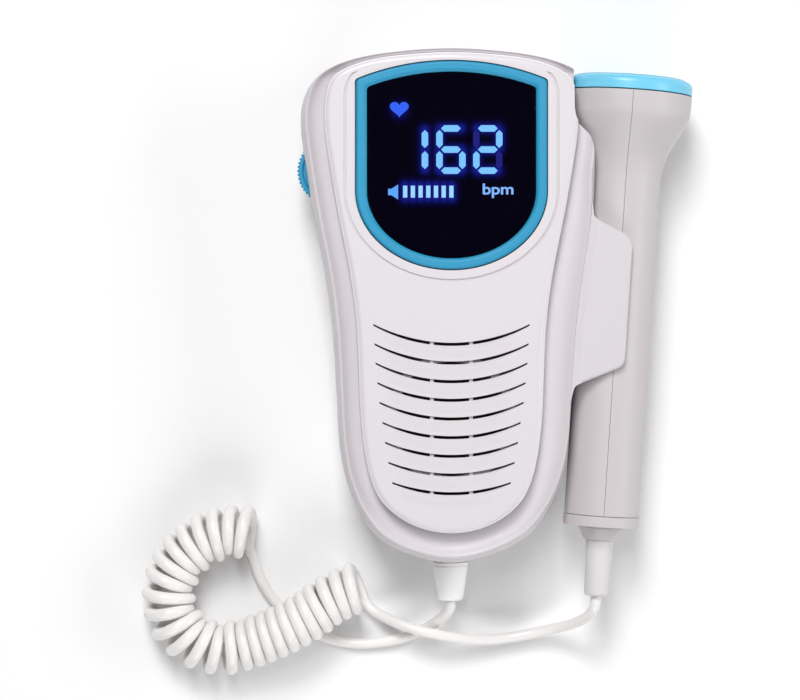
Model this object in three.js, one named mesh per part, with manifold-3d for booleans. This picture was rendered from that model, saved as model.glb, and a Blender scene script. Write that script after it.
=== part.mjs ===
// Handheld fetal doppler monitor lying on its back, with its probe in the side holder and a curly cord.
// Millimetres. +Z comes out of the display, +Y points to the display end, the origin is on the back face.
import * as THREE from "three";
import { mergeVertices } from "three/addons/utils/BufferGeometryUtils.js";
import Module from "manifold-3d";

const wasm = await Module();
wasm.setup();

// Fits and general thicknesses
const gap = 0.3; // between neighbouring pieces
const wall = 2.4; // housing walls
const thinWall = 1.8; // walls of holder and battery bay
const overrun = 5; // how far a cutting shape runs past what it cuts

// Housing: overall sizes, heights and outlines
const bodyLength = 138;
const bodyHalfWidth = 39.7;
const panelHalfWidth = 33.8;
const bodyMiddleShare = 0.505; // where the origin lies along the length
const bodyEndY = -bodyLength * bodyMiddleShare;

// Places along the housing, in shares of its length from the cord end
const panelStartShare = 0.0616;
const probeFootShare = 0.0637;
const lowScrewsShare = 0.1093;
const bayStartShare = 0.2079;
const speakerPlaceShare = 0.2833;
const boardStartShare = 0.447;
const pegsShare = 0.5195;
const windowStartShare = 0.592;
const boardCornerShare = 0.65;
const moduleStartShare = 0.6644;
const windowSideShare = 0.7224;
const wheelPlaceShare = 0.7666;
const boardPostsShare = 0.8238;
const boardEndShare = 0.8637;
const highScrewsShare = 0.9021;
const moduleEndShare = 0.9036;
const windowCornerShare = 0.9202;
const windowApexShare = 0.9499;
const panelEndShare = 0.9913;
const placeAlong = (share) => bodyEndY + share * bodyLength;
const panelEndY = placeAlong(panelStartShare);
const panelLength = placeAlong(panelEndShare) - panelEndY;
const backRoundInset = 5;
const backRoundHeight = 7;
const floorHeight = 2;
const floorCornerInset = 3.2;
const floorCornerHeight = 5;
const partingZ = 15;
const shoulderStartZ = 22;
const shoulderZ = 27;
const ceilingZ = 25;
const ledgeThickness = 1.8;
const ledgeWidth = 3;
const valleyZ = 28.2;
const ridgeZ = 30;
const valleyMidRise = 0.4;
const panelBaseZ = valleyZ + gap;
const panelEdgeZ = 31.9;
const panelTopZ = 33.5;
const panelThickness = 2;
const panelEdgeInset = 1.6;

// Right half of each outline, from the middle of the cord end to the middle of the display end,
// in shares of its half width and length.
const bodyOutlineShares = [
  [0, 0],
  [0.322, 0.021],
  [0.481, 0.046],
  [0.63, 0.104],
  [0.731, 0.186],
  [0.773, 0.309],
  [0.801, 0.44],
  [0.854, 0.563],
  [0.932, 0.679],
  [0.995, 0.795],
  [1, 0.904],
  [0.925, 0.942],
  [0.713, 0.975],
  [0.353, 0.994],
  [0, 1],
];
const panelOutlineShares = [
  [0, 0],
  [0.28, 0.014],
  [0.42, 0.034],
  [0.562, 0.07],
  [0.669, 0.142],
  [0.725, 0.267],
  [0.746, 0.407],
  [0.799, 0.532],
  [0.885, 0.648],
  [0.973, 0.781],
  [1, 0.898],
  [0.941, 0.946],
  [0.784, 0.973],
  [0.402, 0.994],
  [0, 1],
];
const samplesPerSpan = 2;

// How far each front ring moves from the body's outline to the face's outline
const shoulderShares = { start: 0.03, side: 0.12, ridge: 0.27, middle: 0.6, valley: 0.94 };

// Probe and its place beside the housing
const probeFootX = 41.2;
const probeFootY = placeAlong(probeFootShare);
const probeZ = 17.8;
const probeTilt = THREE.MathUtils.degToRad(3.744);
const handleRadius = 9.4;
const handleFootRadius = 9.85;
const headRadius = 16.5;
const shellFoot = 1.2;
const endRingStart = 1.1;
const endRingLength = 2.9;
const endRingRadius = 10.05;
const endRingSeat = 8.6;
const neckStart = 88.8;
const headStart = 113.3;
const headEnd = 117.9;
const capThickness = 4.2;
const probeWall = 1.6;
// The neck's swell from handle to head: shares of the neck's length and of the step in radius
const neckSwellShares = [
  [0, 0],
  [0.2, 0.005],
  [0.34, 0.045],
  [0.5, 0.18],
  [0.68, 0.48],
  [0.83, 0.78],
  [0.94, 0.95],
  [1, 0.98],
];

// Probe holder
const boreClearance = 0.3;
const boreRadius = endRingRadius + boreClearance;
const headClearance = 0.6;
const flapTopZ = 29.6;
const flapEdgeDrop = 1.2;
const flapEdgeInset = 1;
const rearFlapZ = 5.6;
const flapReach = 2.15;
const flapUpper = 84;
const flapUpperDrop = 5;
const flapLower = 37.8;
const flapLowerRise = 7;
const flapUpperStart = -9.1;
const flapUpperRadius = 4.5;
const flapLowerRadius = 3.5;
const flapRootUpper = -11.6;
const flapRootLower = -14.6;
const notchStart = 88;

// Display
const windowHalfWidth = 22.4;
const windowEndY = placeAlong(windowStartShare);
const windowSideY = placeAlong(windowSideShare);
const windowCornerY = placeAlong(windowCornerShare);
const windowApexY = placeAlong(windowApexShare);
const windowCornerRadius = 3;
const bezelWidth = 2.9;
const bezelRise = 0.6;
const bezelEdge = 0.5;
const bezelFlange = 1.4;
const bezelFlangeThickness = 1.3;
const windowThickness = 1.6;
const windowSink = 0.4;
const gasketThickness = 0.6;
const gasketWidth = 2.4;
const moduleHalfWidth = 19.5;
const moduleLowY = placeAlong(moduleStartShare);
const moduleHighY = placeAlong(moduleEndShare);
const moduleThickness = 6;
const modulePinRadius = 0.9;
const grooveOffset = 5.6;
const grooveWidth = 0.5;
const grooveDepth = 0.4;

// Loudspeaker and grille
const speakerY = placeAlong(speakerPlaceShare);
const speakerRadius = 17.5;
const speakerFlange = 1;
const speakerFlangeWidth = 2.2;
const basketFootShare = 0.549;
const basketDepth = 6.6;
const basketWall = 0.8;
const coneRise = 4.2;
const coneThickness = 0.5;
const domeRadius = 5;
const magnetSetback = 1;
const magnetLength = 3.6;
const basketFootRadius = speakerRadius * basketFootShare;
const magnetRadius = basketFootRadius - magnetSetback;
const speakerCollar = 1.2;
const speakerCollarDepth = 2.4;
const slotPitch = 4.95;
const slotHeight = 0.8;
const slotArcRadius = 44;
const slotBridge = 1.2;
const slotBridgeX = 5.2;
const slotLongest = 20.7;
// Half length of each grille row, from the display down, in shares of the longest
const slotLengthShares = [1, 0.986, 0.971, 0.947, 0.923, 0.884, 0.85, 0.807, 0.758];

// Volume wheel
const wheelX = -32.25;
const wheelY = placeAlong(wheelPlaceShare);
const wheelRadius = 9.2;
const wheelThickness = 5;
const wheelTeeth = 52;
const toothDepth = 0.5;
const spindleRadius = 1.6;
const wheelClearance = 0.6;
const wheelZ = partingZ + gap / 2;
const scoopRadius = 14;
const scoopDepth = 1.2;
const potSize = 11;

// Circuit board
const boardBottomZ = 19.4;
const boardThickness = 1.6;
const boardLowY = placeAlong(boardStartShare);
const boardHighY = placeAlong(boardEndShare);
const boardLowHalfWidth = 26.5;
const boardHalfWidth = 30.5;
const boardCornerY = placeAlong(boardCornerShare);
const boardWheelX = -35.4;
const boardCornerRadius = 2;
const chipSize = 9;
const chipThickness = 1.6;
const boardPostRadius = 2.2;
const boardPostX = 20;
const boardPostY = placeAlong(boardPostsShare);
const pegX = 12;
const pegY = placeAlong(pegsShare);

// Batteries, their bay and the door
const cellRadius = 7.2;
const cellLength = 49.2;
const cellSpacing = cellRadius + gap; // from the middle to each cell's middle
const nubRadius = 2.7;
const nubLength = 1.2;
const contactThickness = 0.6;
const contactHeight = 11;
const contactStub = 1.6;
const bayClearance = 0.5; // beside the cells
const contactSpace = 2.4; // at each end of the cells
const bayHalfWidth = cellSpacing + cellRadius + bayClearance;
const bayLength = cellLength + nubLength + 2 * contactSpace;
const bayLowY = placeAlong(bayStartShare);
const bayHighY = bayLowY + bayLength;
const baySill = 3.4;
const doorLip = 2.1;
const doorThickness = 1.6;
const doorTopZ = floorHeight - gap;
const doorCornerRadius = 3;
const doorTabWidth = 4;
const doorTabX = 10;
const doorTabReach = 1.8;
const doorTabThickness = 1;
const doorRibHeight = 0.5;
const doorHalfWidth = bayHalfWidth + doorLip;
const doorLowY = bayLowY - doorLip;
const doorHighY = bayHighY + doorLip;
const gripRadius = 7;
const gripDepth = 0.9;
const gripSetback = 8;

// Case screws and their bosses
const screwLowX = 17.5;
const screwLowY = placeAlong(lowScrewsShare);
const screwHighY = placeAlong(highScrewsShare);
const screwHighLeftX = -26.8;
const screwHighRightX = 23.4;
const screwHeadRadius = 2.8;
const screwHeadHeight = 2;
const screwShankRadius = 1.4;
const screwLength = 16;
const screwSlotWidth = 0.8;
const screwSlotDepth = 0.8;
const screwSink = 4;
const bossRadius = 4.1;
const postRadius = 3.4;

// Cord gland
const glandZ = 10.5;
const glandRadius = 4.9;
const glandTipRadius = 3.4;
const glandLength = 10.5;
const glandCollar = 0.9;
const glandCollarGroove = 0.25;
const glandNeckRadius = 3.8;
const glandFlangeRadius = 6.2;
const glandFlangeThickness = 1.6;

// Probe's strain relief and inner pieces
const reliefCollarRadius = 6.1;
const reliefCollarTip = 4.4;
const reliefCollarLength = 3.5;
const reliefRadius = 3.7;
const reliefTipRadius = 3.3;
const reliefLength = 15.2;
const reliefNeckRadius = 3.7;
const reliefFlangeRadius = 5.6;
const reliefFlangeThickness = 1.6;
const probeFootWall = 2;
const capRim = 2.4;
const capRimWidth = 1.2;
const capEdge = 1.4;
const sealSection = 0.7;
const transducerMargin = 2.4; // between the disc and the cap's rim
const transducerThickness = 2;
const backingLength = 6;
const probeBoardStart = 42;
const probeBoardLength = 46;
const probeBoardThickness = 1.2;

// Cord
const cordDiameter = 2.9;
const cordSides = 8;
const cordLift = 0.05; // lowest point of the cord above the table
const curlRadius = 5.6; // from the coil's middle line to the cord's middle
const curlGap = 0.1; // between neighbouring curls on the inner side of a bend
const curlSteps = 8;
const curlSides = 5;
const coilStartX = -55.1;
const coilStartY = -62.5;
const coilStartHeading = 169;
const crossingLift = 3.4; // the coil rides over its own lead
const crossingReach = 13;
// The coil's middle line as arcs on the table: length, and turn in degrees to the left
const coilArcs = [
  [27.2, 83],
  [31.6, 124],
  [25.5, 19.5],
  [11.7, -18.5],
];
const coilCrossingAlong = 76.5;

// Hand-laid points of the lead from the gland to the coil, and from the coil to the probe
const bodyLeadRoute = [
  [-0.9, -84, 9.4],
  [-2.9, -86, 7.6],
  [-5.6, -88, 5.5],
  [-8.9, -89.8, 3.5],
  [-13.7, -91.7, 2.1],
  [-19.2, -92.7, 1.6],
  [-24.7, -93.1, 1.55],
  [-30.2, -92.5, 1.55],
  [-35.1, -91, 1.55],
  [-39.3, -88.8, 1.55],
  [-43.1, -86.1, 1.55],
  [-47, -82.6, 1.55],
  [-50.1, -78.6, 1.55],
  [-52.5, -74.2, 1.55],
  [-54.1, -69.5, 1.55],
];
const probeLeadRoute = [
  [-21.6, -83.4, 2.3],
  [-17, -86, 4.6],
  [-13.4, -87.4, 6.8],
  [-8.8, -88.8, 8.3],
  [-4.9, -89.7, 8.6],
  [-1, -90.5, 8],
  [8.2, -91.8, 5.4],
  [17.3, -91.4, 3.8],
  [26.2, -89.3, 4.6],
  [32.4, -86.4, 8],
  [36.8, -84, 12.2],
  [39.2, -82.6, 15.9],
];
const leadSteps = 15;

// Finishes
const finishes = {
  housing: new THREE.MeshStandardMaterial({ color: 0xe6e2e6, roughness: 0.45 }),
  face: new THREE.MeshStandardMaterial({ color: 0xece9ec, roughness: 0.42 }),
  turquoise: new THREE.MeshStandardMaterial({ color: 0x2fa5cf, roughness: 0.3 }),
  glass: new THREE.MeshStandardMaterial({ color: 0x07060f, roughness: 0.08 }),
  foam: new THREE.MeshStandardMaterial({ color: 0x1c1c1e, roughness: 0.95 }),
  display: new THREE.MeshStandardMaterial({ color: 0x15151c, roughness: 0.6 }),
  board: new THREE.MeshStandardMaterial({ color: 0x17603a, roughness: 0.5 }),
  probeBody: new THREE.MeshStandardMaterial({ color: 0xe3dfe1, roughness: 0.4 }),
  rubber: new THREE.MeshStandardMaterial({ color: 0xeeecea, roughness: 0.6 }),
  cord: new THREE.MeshStandardMaterial({ color: 0xf1ede9, roughness: 0.5 }),
  steel: new THREE.MeshStandardMaterial({ color: 0xb9bcc0, roughness: 0.3, metalness: 1 }),
  paper: new THREE.MeshStandardMaterial({ color: 0x2a2a2c, roughness: 0.9 }),
  cell: new THREE.MeshStandardMaterial({ color: 0x3c6e52, roughness: 0.35 }),
  ceramic: new THREE.MeshStandardMaterial({ color: 0xd8cfae, roughness: 0.6 }),
};

// Closed surfaces to solids and back
function solidFrom(positions, faces) {
  const make = (triVerts) =>
    new wasm.Manifold(
      new wasm.Mesh({
        numProp: 3,
        vertProperties: new Float32Array(positions),
        triVerts: new Uint32Array(triVerts),
      }),
    );
  const made = make(faces);
  return made.volume() < 0 ? make([...faces].reverse()) : made;
}

function solidOf(geometry) {
  const bare = geometry.clone();
  bare.deleteAttribute("normal");
  bare.deleteAttribute("uv");
  const merged = mergeVertices(bare, 1e-4);
  return solidFrom(merged.attributes.position.array, merged.index.array);
}

function geometryOf(solid) {
  const mesh = solid.getMesh();
  const geometry = new THREE.BufferGeometry();
  geometry.setAttribute("position", new THREE.BufferAttribute(mesh.vertProperties, 3));
  geometry.setIndex(new THREE.BufferAttribute(mesh.triVerts, 1));
  geometry.computeVertexNormals();
  return geometry;
}

const joined = (...solids) => solids.reduce((sum, solid) => sum.add(solid));

// Shapes
function block([x0, y0, z0], [x1, y1, z1]) {
  const box = new THREE.BoxGeometry(x1 - x0, y1 - y0, z1 - z0);
  box.translate((x0 + x1) / 2, (y0 + y1) / 2, (z0 + z1) / 2);
  return solidOf(box);
}

function rod(radius, x, y, z0, z1, sides = 16) {
  const cylinder = new THREE.CylinderGeometry(radius, radius, z1 - z0, sides);
  cylinder.rotateX(Math.PI / 2);
  cylinder.translate(x, y, (z0 + z1) / 2);
  return solidOf(cylinder);
}

// A turned solid about its own Y axis, from pairs of radius and height
function turned(profile, sides = 24) {
  return new THREE.LatheGeometry(
    profile.map(([radius, along]) => new THREE.Vector2(radius, along)),
    sides,
  );
}

function loft(rings) {
  const count = rings[0].outline.length;
  const positions = rings.flatMap(({ outline, z }) => outline.flatMap((point) => [point.x, point.y, z]));
  const faces = [];
  for (let ring = 0; ring + 1 < rings.length; ring += 1) {
    for (let i = 0; i < count; i += 1) {
      const here = ring * count + i;
      const next = ring * count + ((i + 1) % count);
      faces.push(here, next, next + count, here, next + count, here + count);
    }
  }
  const top = (rings.length - 1) * count;
  for (const [a, b, c] of THREE.ShapeUtils.triangulateShape(rings[0].outline, [])) faces.push(c, b, a);
  for (const [a, b, c] of THREE.ShapeUtils.triangulateShape(rings.at(-1).outline, [])) {
    faces.push(top + a, top + b, top + c);
  }
  return solidFrom(positions, faces);
}

const prism = (outline, z0, z1) =>
  loft([
    { outline, z: z0 },
    { outline, z: z1 },
  ]);

// Outlines, anticlockwise from above
function outlineFrom(shares, halfWidth, startY, length) {
  const knots = shares.map(([x, y]) => new THREE.Vector2(x * halfWidth, startY + y * length));
  const right = new THREE.SplineCurve(knots).getPoints(samplesPerSpan * (shares.length - 1));
  return [...right, ...mirrored(right)];
}

const mirrored = (right) =>
  right
    .slice(1, -1)
    .reverse()
    .map((point) => new THREE.Vector2(-point.x, point.y));

function inset(outline, distance) {
  return outline.map((point, i) => {
    const along = outline[(i + 1) % outline.length].clone().sub(outline.at(i - 1)).normalize();
    return new THREE.Vector2(point.x - along.y * distance, point.y + along.x * distance);
  });
}

const between = (from, to, share) => from.map((point, i) => point.clone().lerp(to[i], share));

// A polygon whose corners, given as [x, y, radius], are rounded by arcs
function roundedPolygon(corners, steps = 4) {
  return corners.flatMap(([x, y, radius], i) => {
    const corner = new THREE.Vector2(x, y);
    if (!radius) return [corner];
    const [beforeX, beforeY] = corners.at(i - 1);
    const [afterX, afterY] = corners[(i + 1) % corners.length];
    const before = new THREE.Vector2(beforeX, beforeY).sub(corner).normalize();
    const after = new THREE.Vector2(afterX, afterY).sub(corner).normalize();
    const half = Math.acos(before.dot(after)) / 2;
    const reach = radius / Math.tan(half);
    const curve = new THREE.QuadraticBezierCurve(
      corner.clone().addScaledVector(before, reach),
      corner,
      corner.clone().addScaledVector(after, reach),
    );
    return curve.getPoints(steps);
  });
}

const rectangle = (halfWidth, lowY, highY, radius) =>
  roundedPolygon([
    [-halfWidth, lowY, radius],
    [halfWidth, lowY, radius],
    [halfWidth, highY, radius],
    [-halfWidth, highY, radius],
  ]);

// The display's outline, grown outwards by an offset
function displayOutline(offset) {
  const halfWidth = windowHalfWidth + offset;
  const corner = windowCornerRadius + offset;
  const sagitta = windowApexY - windowCornerY;
  const topRadius = (windowHalfWidth ** 2 + sagitta ** 2) / (2 * sagitta) + offset;
  const topCentreY = windowApexY + offset - topRadius;
  const cornerX = halfWidth - corner;
  const cornerY = topCentreY + Math.sqrt((topRadius - corner) ** 2 - cornerX ** 2);
  const cornerSweep = Math.atan2(cornerY - topCentreY, cornerX);
  const right = [];
  for (let i = 0; i <= 9; i += 1) {
    const angle = ((i / 9 - 1) * Math.PI) / 2;
    const depth = windowSideY - windowEndY + offset;
    right.push(new THREE.Vector2(halfWidth * Math.cos(angle), windowSideY + depth * Math.sin(angle)));
  }
  for (let i = 0; i <= 4; i += 1) {
    const angle = (cornerSweep * i) / 4;
    right.push(new THREE.Vector2(cornerX + corner * Math.cos(angle), cornerY + corner * Math.sin(angle)));
  }
  for (let i = 1; i <= 5; i += 1) {
    const angle = cornerSweep + ((Math.PI / 2 - cornerSweep) * i) / 5;
    right.push(new THREE.Vector2(topRadius * Math.cos(angle), topCentreY + topRadius * Math.sin(angle)));
  }
  right[0].x = 0;
  right.at(-1).x = 0;
  return [...right, ...mirrored(right)];
}

// The assembly, with the probe's pieces in a group that stands along its tilted axis
const doppler = new THREE.Group();
const probe = new THREE.Group();
probe.position.set(probeFootX, probeFootY, probeZ);
probe.rotation.z = -probeTilt;
doppler.add(probe);
probe.updateMatrixWorld(true);

function piece(name, shape, finish, group = doppler) {
  const geometry = shape.isBufferGeometry ? shape : geometryOf(shape);
  const mesh = new THREE.Mesh(geometry, finishes[finish]);
  mesh.name = name;
  group.add(mesh);
}

const bodyOutline = outlineFrom(bodyOutlineShares, bodyHalfWidth, bodyEndY, bodyLength);
const panelOutline = outlineFrom(panelOutlineShares, panelHalfWidth, panelEndY, panelLength);

// Radius of the probe's outer surface along its axis, from handle to head, as pairs of radius and height
function probeProfile(grow) {
  const swell = neckSwellShares.map(([along, out]) => [
    handleRadius + out * (headRadius - handleRadius) + grow,
    neckStart + along * (headStart - neckStart),
  ]);
  return [...swell, [headRadius + grow, headEnd]];
}

// The space that the probe needs in the holder: a bore for the handle, opened into a cup for the head
function probeSpace(grow) {
  const bore = boreRadius + grow;
  const cup = probeProfile(headClearance + grow).filter(([radius]) => radius > bore);
  const [, cupStart] = cup[0];
  const geometry = turned([
    [0, -bodyLength],
    [bore, -bodyLength],
    [bore, cupStart - overrun],
    ...cup,
    [headRadius + headClearance + grow, bodyLength + overrun],
    [0, bodyLength + overrun],
  ]);
  return solidOf(geometry.applyMatrix4(probe.matrixWorld));
}

const alongProbe = (x, along) => {
  const place = new THREE.Vector3(x, along, 0).applyMatrix4(probe.matrixWorld);
  return new THREE.Vector2(place.x, place.y);
};

// Above the axis the housing is cut straight up, along the probe's own outline
function headNotch(grow) {
  const profile = probeProfile(grow).filter(([, along]) => along > notchStart);
  const side = [
    [handleRadius + grow, notchStart - grow],
    ...profile.slice(1),
    [headRadius + grow, bodyLength + overrun],
  ];
  const right = side.map(([radius, along]) => alongProbe(radius, along));
  const left = side.map(([radius, along]) => alongProbe(-radius, along));
  return prism([...right, ...left.reverse()], probeZ, panelTopZ + overrun);
}

// One flap of the holder, between two heights, with an eased outer edge at the height given last
function holderFlap(insideZ, outsideZ) {
  const corners = [
    [flapRootLower, flapLower, 0],
    [flapUpperStart + (flapRootLower - flapRootUpper), flapLower + gap, 0],
    [flapReach, flapLower + flapLowerRise, flapLowerRadius],
    [flapReach, flapUpper - flapUpperDrop, flapUpperRadius],
    [flapUpperStart, flapUpper, 0],
    [flapRootUpper, flapUpper + gap, 0],
  ];
  const outline = roundedPolygon(corners).map((point) => alongProbe(point.x, point.y));
  const easeZ = outsideZ + (insideZ > outsideZ ? flapEdgeDrop : -flapEdgeDrop);
  const rings = [
    { outline, z: insideZ },
    { outline, z: easeZ },
    { outline: inset(outline, flapEdgeInset), z: outsideZ },
  ];
  return loft(insideZ > outsideZ ? rings.reverse() : rings);
}

const screwPlaces = [
  [-screwLowX, screwLowY],
  [screwLowX, screwLowY],
  [screwHighLeftX, screwHighY],
  [screwHighRightX, screwHighY],
];
const screwSeatZ = screwSink + screwHeadHeight + gap;
const screwTipZ = screwSink + screwHeadHeight + screwLength;

// Shapes that cut both halves of the housing
const space = probeSpace(0);
const spaceWall = probeSpace(thinWall);
const notch = headNotch(0);
const notchWall = headNotch(thinWall);
const glandPassage = (radius, y0, y1, sides = 16) => {
  const cylinder = new THREE.CylinderGeometry(radius, radius, y1 - y0, sides);
  cylinder.translate(0, (y0 + y1) / 2, glandZ);
  return solidOf(cylinder);
};
const glandHole = glandPassage(glandNeckRadius + gap, bodyEndY - overrun, bodyEndY + wall + overrun);
const glandPocket = glandPassage(
  glandFlangeRadius + gap,
  bodyEndY + wall,
  bodyEndY + wall + glandFlangeThickness + 2 * gap,
);
const wheelSlot = rod(
  wheelRadius + wheelClearance,
  wheelX,
  wheelY,
  wheelZ - wheelThickness / 2 - wheelClearance,
  wheelZ + wheelThickness / 2 + wheelClearance,
  32,
);
const scoopBall = new THREE.SphereGeometry(scoopRadius, 20, 14);
scoopBall.translate(-bodyHalfWidth - scoopRadius + scoopDepth, wheelY, wheelZ);
const fingerScoop = solidOf(scoopBall);

// Rear shell
function rearShell() {
  const rings = [0, 1, 2, 3].map((step) => {
    const angle = (step * Math.PI) / 6;
    return {
      outline: inset(bodyOutline, backRoundInset * (1 - Math.sin(angle))),
      z: backRoundHeight * (1 - Math.cos(angle)),
    };
  });
  const outer = loft([...rings, { outline: bodyOutline, z: partingZ }]);
  const hollow = loft([
    { outline: inset(bodyOutline, wall + floorCornerInset), z: floorHeight },
    { outline: inset(bodyOutline, wall), z: floorHeight + floorCornerHeight },
    { outline: inset(bodyOutline, wall), z: partingZ + overrun },
  ]);
  const bayCeilingZ = boardBottomZ - gap - doorRibHeight;
  const bay = block(
    [-bayHalfWidth - baySill, bayLowY - baySill, floorHeight / 2],
    [bayHalfWidth + baySill, bayHighY + baySill, bayCeilingZ],
  );
  const bayHollow = block(
    [-bayHalfWidth, bayLowY, -overrun],
    [bayHalfWidth, bayHighY, bayCeilingZ - wall / 2],
  );
  const doorway = prism(
    inset(rectangle(doorHalfWidth, doorLowY, doorHighY, doorCornerRadius), -gap),
    -overrun,
    floorHeight,
  );
  const tabPockets = [-doorTabX, doorTabX].map((x) =>
    block(
      [x - doorTabWidth / 2 - gap, doorLowY - doorTabReach - doorTabThickness, floorHeight],
      [x + doorTabWidth / 2 + gap, bayLowY + gap, floorHeight + 3 * doorTabThickness],
    ),
  );
  const bosses = screwPlaces.map(([x, y]) => rod(bossRadius, x, y, floorHeight / 2, partingZ));
  const posts = [-boardPostX, boardPostX].map((x) =>
    rod(boardPostRadius, x, boardPostY, floorHeight / 2, boardBottomZ - gap, 12),
  );
  const pegs = [
    [-pegX, pegY],
    [pegX, pegY],
  ].map(([x, y]) => rod(boardPostRadius, x, y, bayCeilingZ - wall / 2, boardBottomZ - gap, 12));
  const glandCollarWall = glandPassage(
    glandFlangeRadius + gap + thinWall,
    bodyEndY + wall / 2,
    bodyEndY + wall + glandFlangeThickness + gap,
  ).subtract(
    glandPassage(
      glandFlangeRadius + gap,
      bodyEndY + wall,
      bodyEndY + wall + glandFlangeThickness + overrun,
    ),
  );
  let shell = outer.add(holderFlap(partingZ, rearFlapZ));
  shell = shell.subtract(hollow.subtract(spaceWall));
  shell = joined(shell, bay, ...bosses, ...posts, ...pegs);
  shell = shell.add(glandCollarWall.intersect(outer));
  shell = shell.subtract(bayHollow).subtract(doorway);
  for (const pocket of tabPockets) shell = shell.subtract(pocket);
  for (const [x, y] of screwPlaces) {
    shell = shell.subtract(rod(screwHeadRadius + gap, x, y, -overrun, screwSeatZ));
    shell = shell.subtract(rod(screwShankRadius + gap, x, y, 0, partingZ + overrun, 12));
  }
  for (const cut of [space, glandHole, glandPocket, wheelSlot, fingerScoop]) shell = shell.subtract(cut);
  return shell;
}

// Front shell: sloping sides, a ridge, the hollow shoulder and the ledge that carries the face
function frontShell() {
  const bottomZ = partingZ + gap;
  const valley = between(bodyOutline, panelOutline, shoulderShares.valley);
  const outer = loft([
    { outline: bodyOutline, z: bottomZ },
    { outline: between(bodyOutline, panelOutline, shoulderShares.start), z: shoulderStartZ },
    { outline: between(bodyOutline, panelOutline, shoulderShares.side), z: shoulderZ },
    { outline: between(bodyOutline, panelOutline, shoulderShares.ridge), z: ridgeZ },
    {
      outline: between(bodyOutline, panelOutline, shoulderShares.middle),
      z: valleyZ + valleyMidRise,
    },
    { outline: valley, z: valleyZ },
  ]);
  const mouth = inset(panelOutline, ledgeWidth);
  const hollow = loft([
    { outline: inset(bodyOutline, wall), z: bottomZ - overrun },
    { outline: inset(bodyOutline, wall), z: ceilingZ },
    { outline: mouth, z: valleyZ - ledgeThickness },
    { outline: mouth, z: valleyZ + overrun },
  ]);
  const posts = screwPlaces.map(([x, y]) => rod(postRadius, x, y, bottomZ, ceilingZ + thinWall));
  const shelves = screwPlaces.map(([x, y]) => {
    const sideX = x < 0 ? -bodyHalfWidth : bodyHalfWidth;
    return block(
      [Math.min(x, sideX), y - postRadius, ceilingZ],
      [Math.max(x, sideX), y + postRadius, ceilingZ + thinWall],
    );
  });
  const hollowWalls = joined(spaceWall, notchWall);
  let shell = outer.add(holderFlap(bottomZ, flapTopZ));
  shell = shell.subtract(hollow.subtract(hollowWalls));
  const room = prism(inset(bodyOutline, wall / 2), bottomZ, valleyZ);
  shell = joined(shell, ...[...posts, ...shelves].map((solid) => solid.intersect(room)));
  for (const [x, y] of screwPlaces) {
    shell = shell.subtract(rod(screwShankRadius + gap, x, y, 0, screwTipZ + gap, 12));
  }
  for (const cut of [space, notch, glandHole, glandPocket, wheelSlot, fingerScoop]) {
    shell = shell.subtract(cut);
  }
  return shell;
}

// One opening of a grille row, between two places along the row's arc
function grilleSlot(rowY, fromX, toX, segments) {
  const lower = [];
  const upper = [];
  for (let i = 0; i <= segments; i += 1) {
    const x = fromX + ((toX - fromX) * i) / segments;
    const rise = slotArcRadius - Math.sqrt(slotArcRadius ** 2 - x ** 2);
    lower.push(new THREE.Vector2(x, rowY + rise - slotHeight / 2));
    upper.push(new THREE.Vector2(x, rowY + rise + slotHeight / 2));
  }
  return prism([...lower, ...upper.reverse()], panelBaseZ - overrun, panelTopZ + overrun);
}

// Face panel: a shallow tray turned over, with display opening, groove, grille and speaker collar
function facePanel() {
  const outer = loft([
    { outline: panelOutline, z: panelBaseZ },
    { outline: inset(panelOutline, gap), z: panelEdgeZ },
    { outline: inset(panelOutline, panelEdgeInset / 2), z: panelEdgeZ + (panelTopZ - panelEdgeZ) * 0.7 },
    { outline: inset(panelOutline, panelEdgeInset), z: panelTopZ },
  ]);
  const undersideZ = panelTopZ - panelThickness;
  const hollow = prism(inset(panelOutline, panelThickness), panelBaseZ - overrun, undersideZ);
  const opening = prism(displayOutline(bezelWidth + gap), panelBaseZ, panelTopZ + overrun);
  const collarOuter = speakerRadius + gap + speakerCollar;
  const collarFootZ = undersideZ - speakerCollarDepth;
  const collar = rod(collarOuter, 0, speakerY, collarFootZ, undersideZ + gap, 24).subtract(
    rod(speakerRadius + gap, 0, speakerY, panelBaseZ - overrun, undersideZ, 24),
  );
  const grooveFloorZ = panelTopZ - grooveDepth;
  const grooveOuter = prism(displayOutline(grooveOffset + grooveWidth), grooveFloorZ, panelTopZ + overrun);
  const grooveInner = prism(displayOutline(grooveOffset), panelBaseZ, panelTopZ + 2 * overrun);
  const grooveField = prism(
    inset(panelOutline, panelEdgeInset + grooveWidth),
    panelBaseZ,
    panelTopZ + 2 * overrun,
  );
  let panel = outer.subtract(hollow).add(collar).subtract(opening);
  panel = panel.subtract(grooveOuter.subtract(grooveInner).intersect(grooveField));
  const middleRow = (slotLengthShares.length - 1) / 2;
  slotLengthShares.forEach((share, row) => {
    const rowY = speakerY + (middleRow - row) * slotPitch;
    const end = slotLongest * share;
    const inner = slotBridgeX - slotBridge / 2;
    const outside = slotBridgeX + slotBridge / 2;
    panel = panel
      .subtract(grilleSlot(rowY, -inner, inner, 2))
      .subtract(grilleSlot(rowY, outside, end, 3))
      .subtract(grilleSlot(rowY, -end, -outside, 3));
  });
  return panel.subtract(notch);
}

// Display ring, window, foam frame and display block, stacked down from the face
const bezelTopZ = panelTopZ + bezelRise;
const bezelBottomZ = panelTopZ - panelThickness - gap - bezelFlangeThickness;
const windowTopZ = bezelTopZ - windowSink;
const windowBottomZ = windowTopZ - windowThickness;
const gasketBottomZ = windowBottomZ - gap - gasketThickness;
const moduleTopZ = gasketBottomZ - gap;

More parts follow.
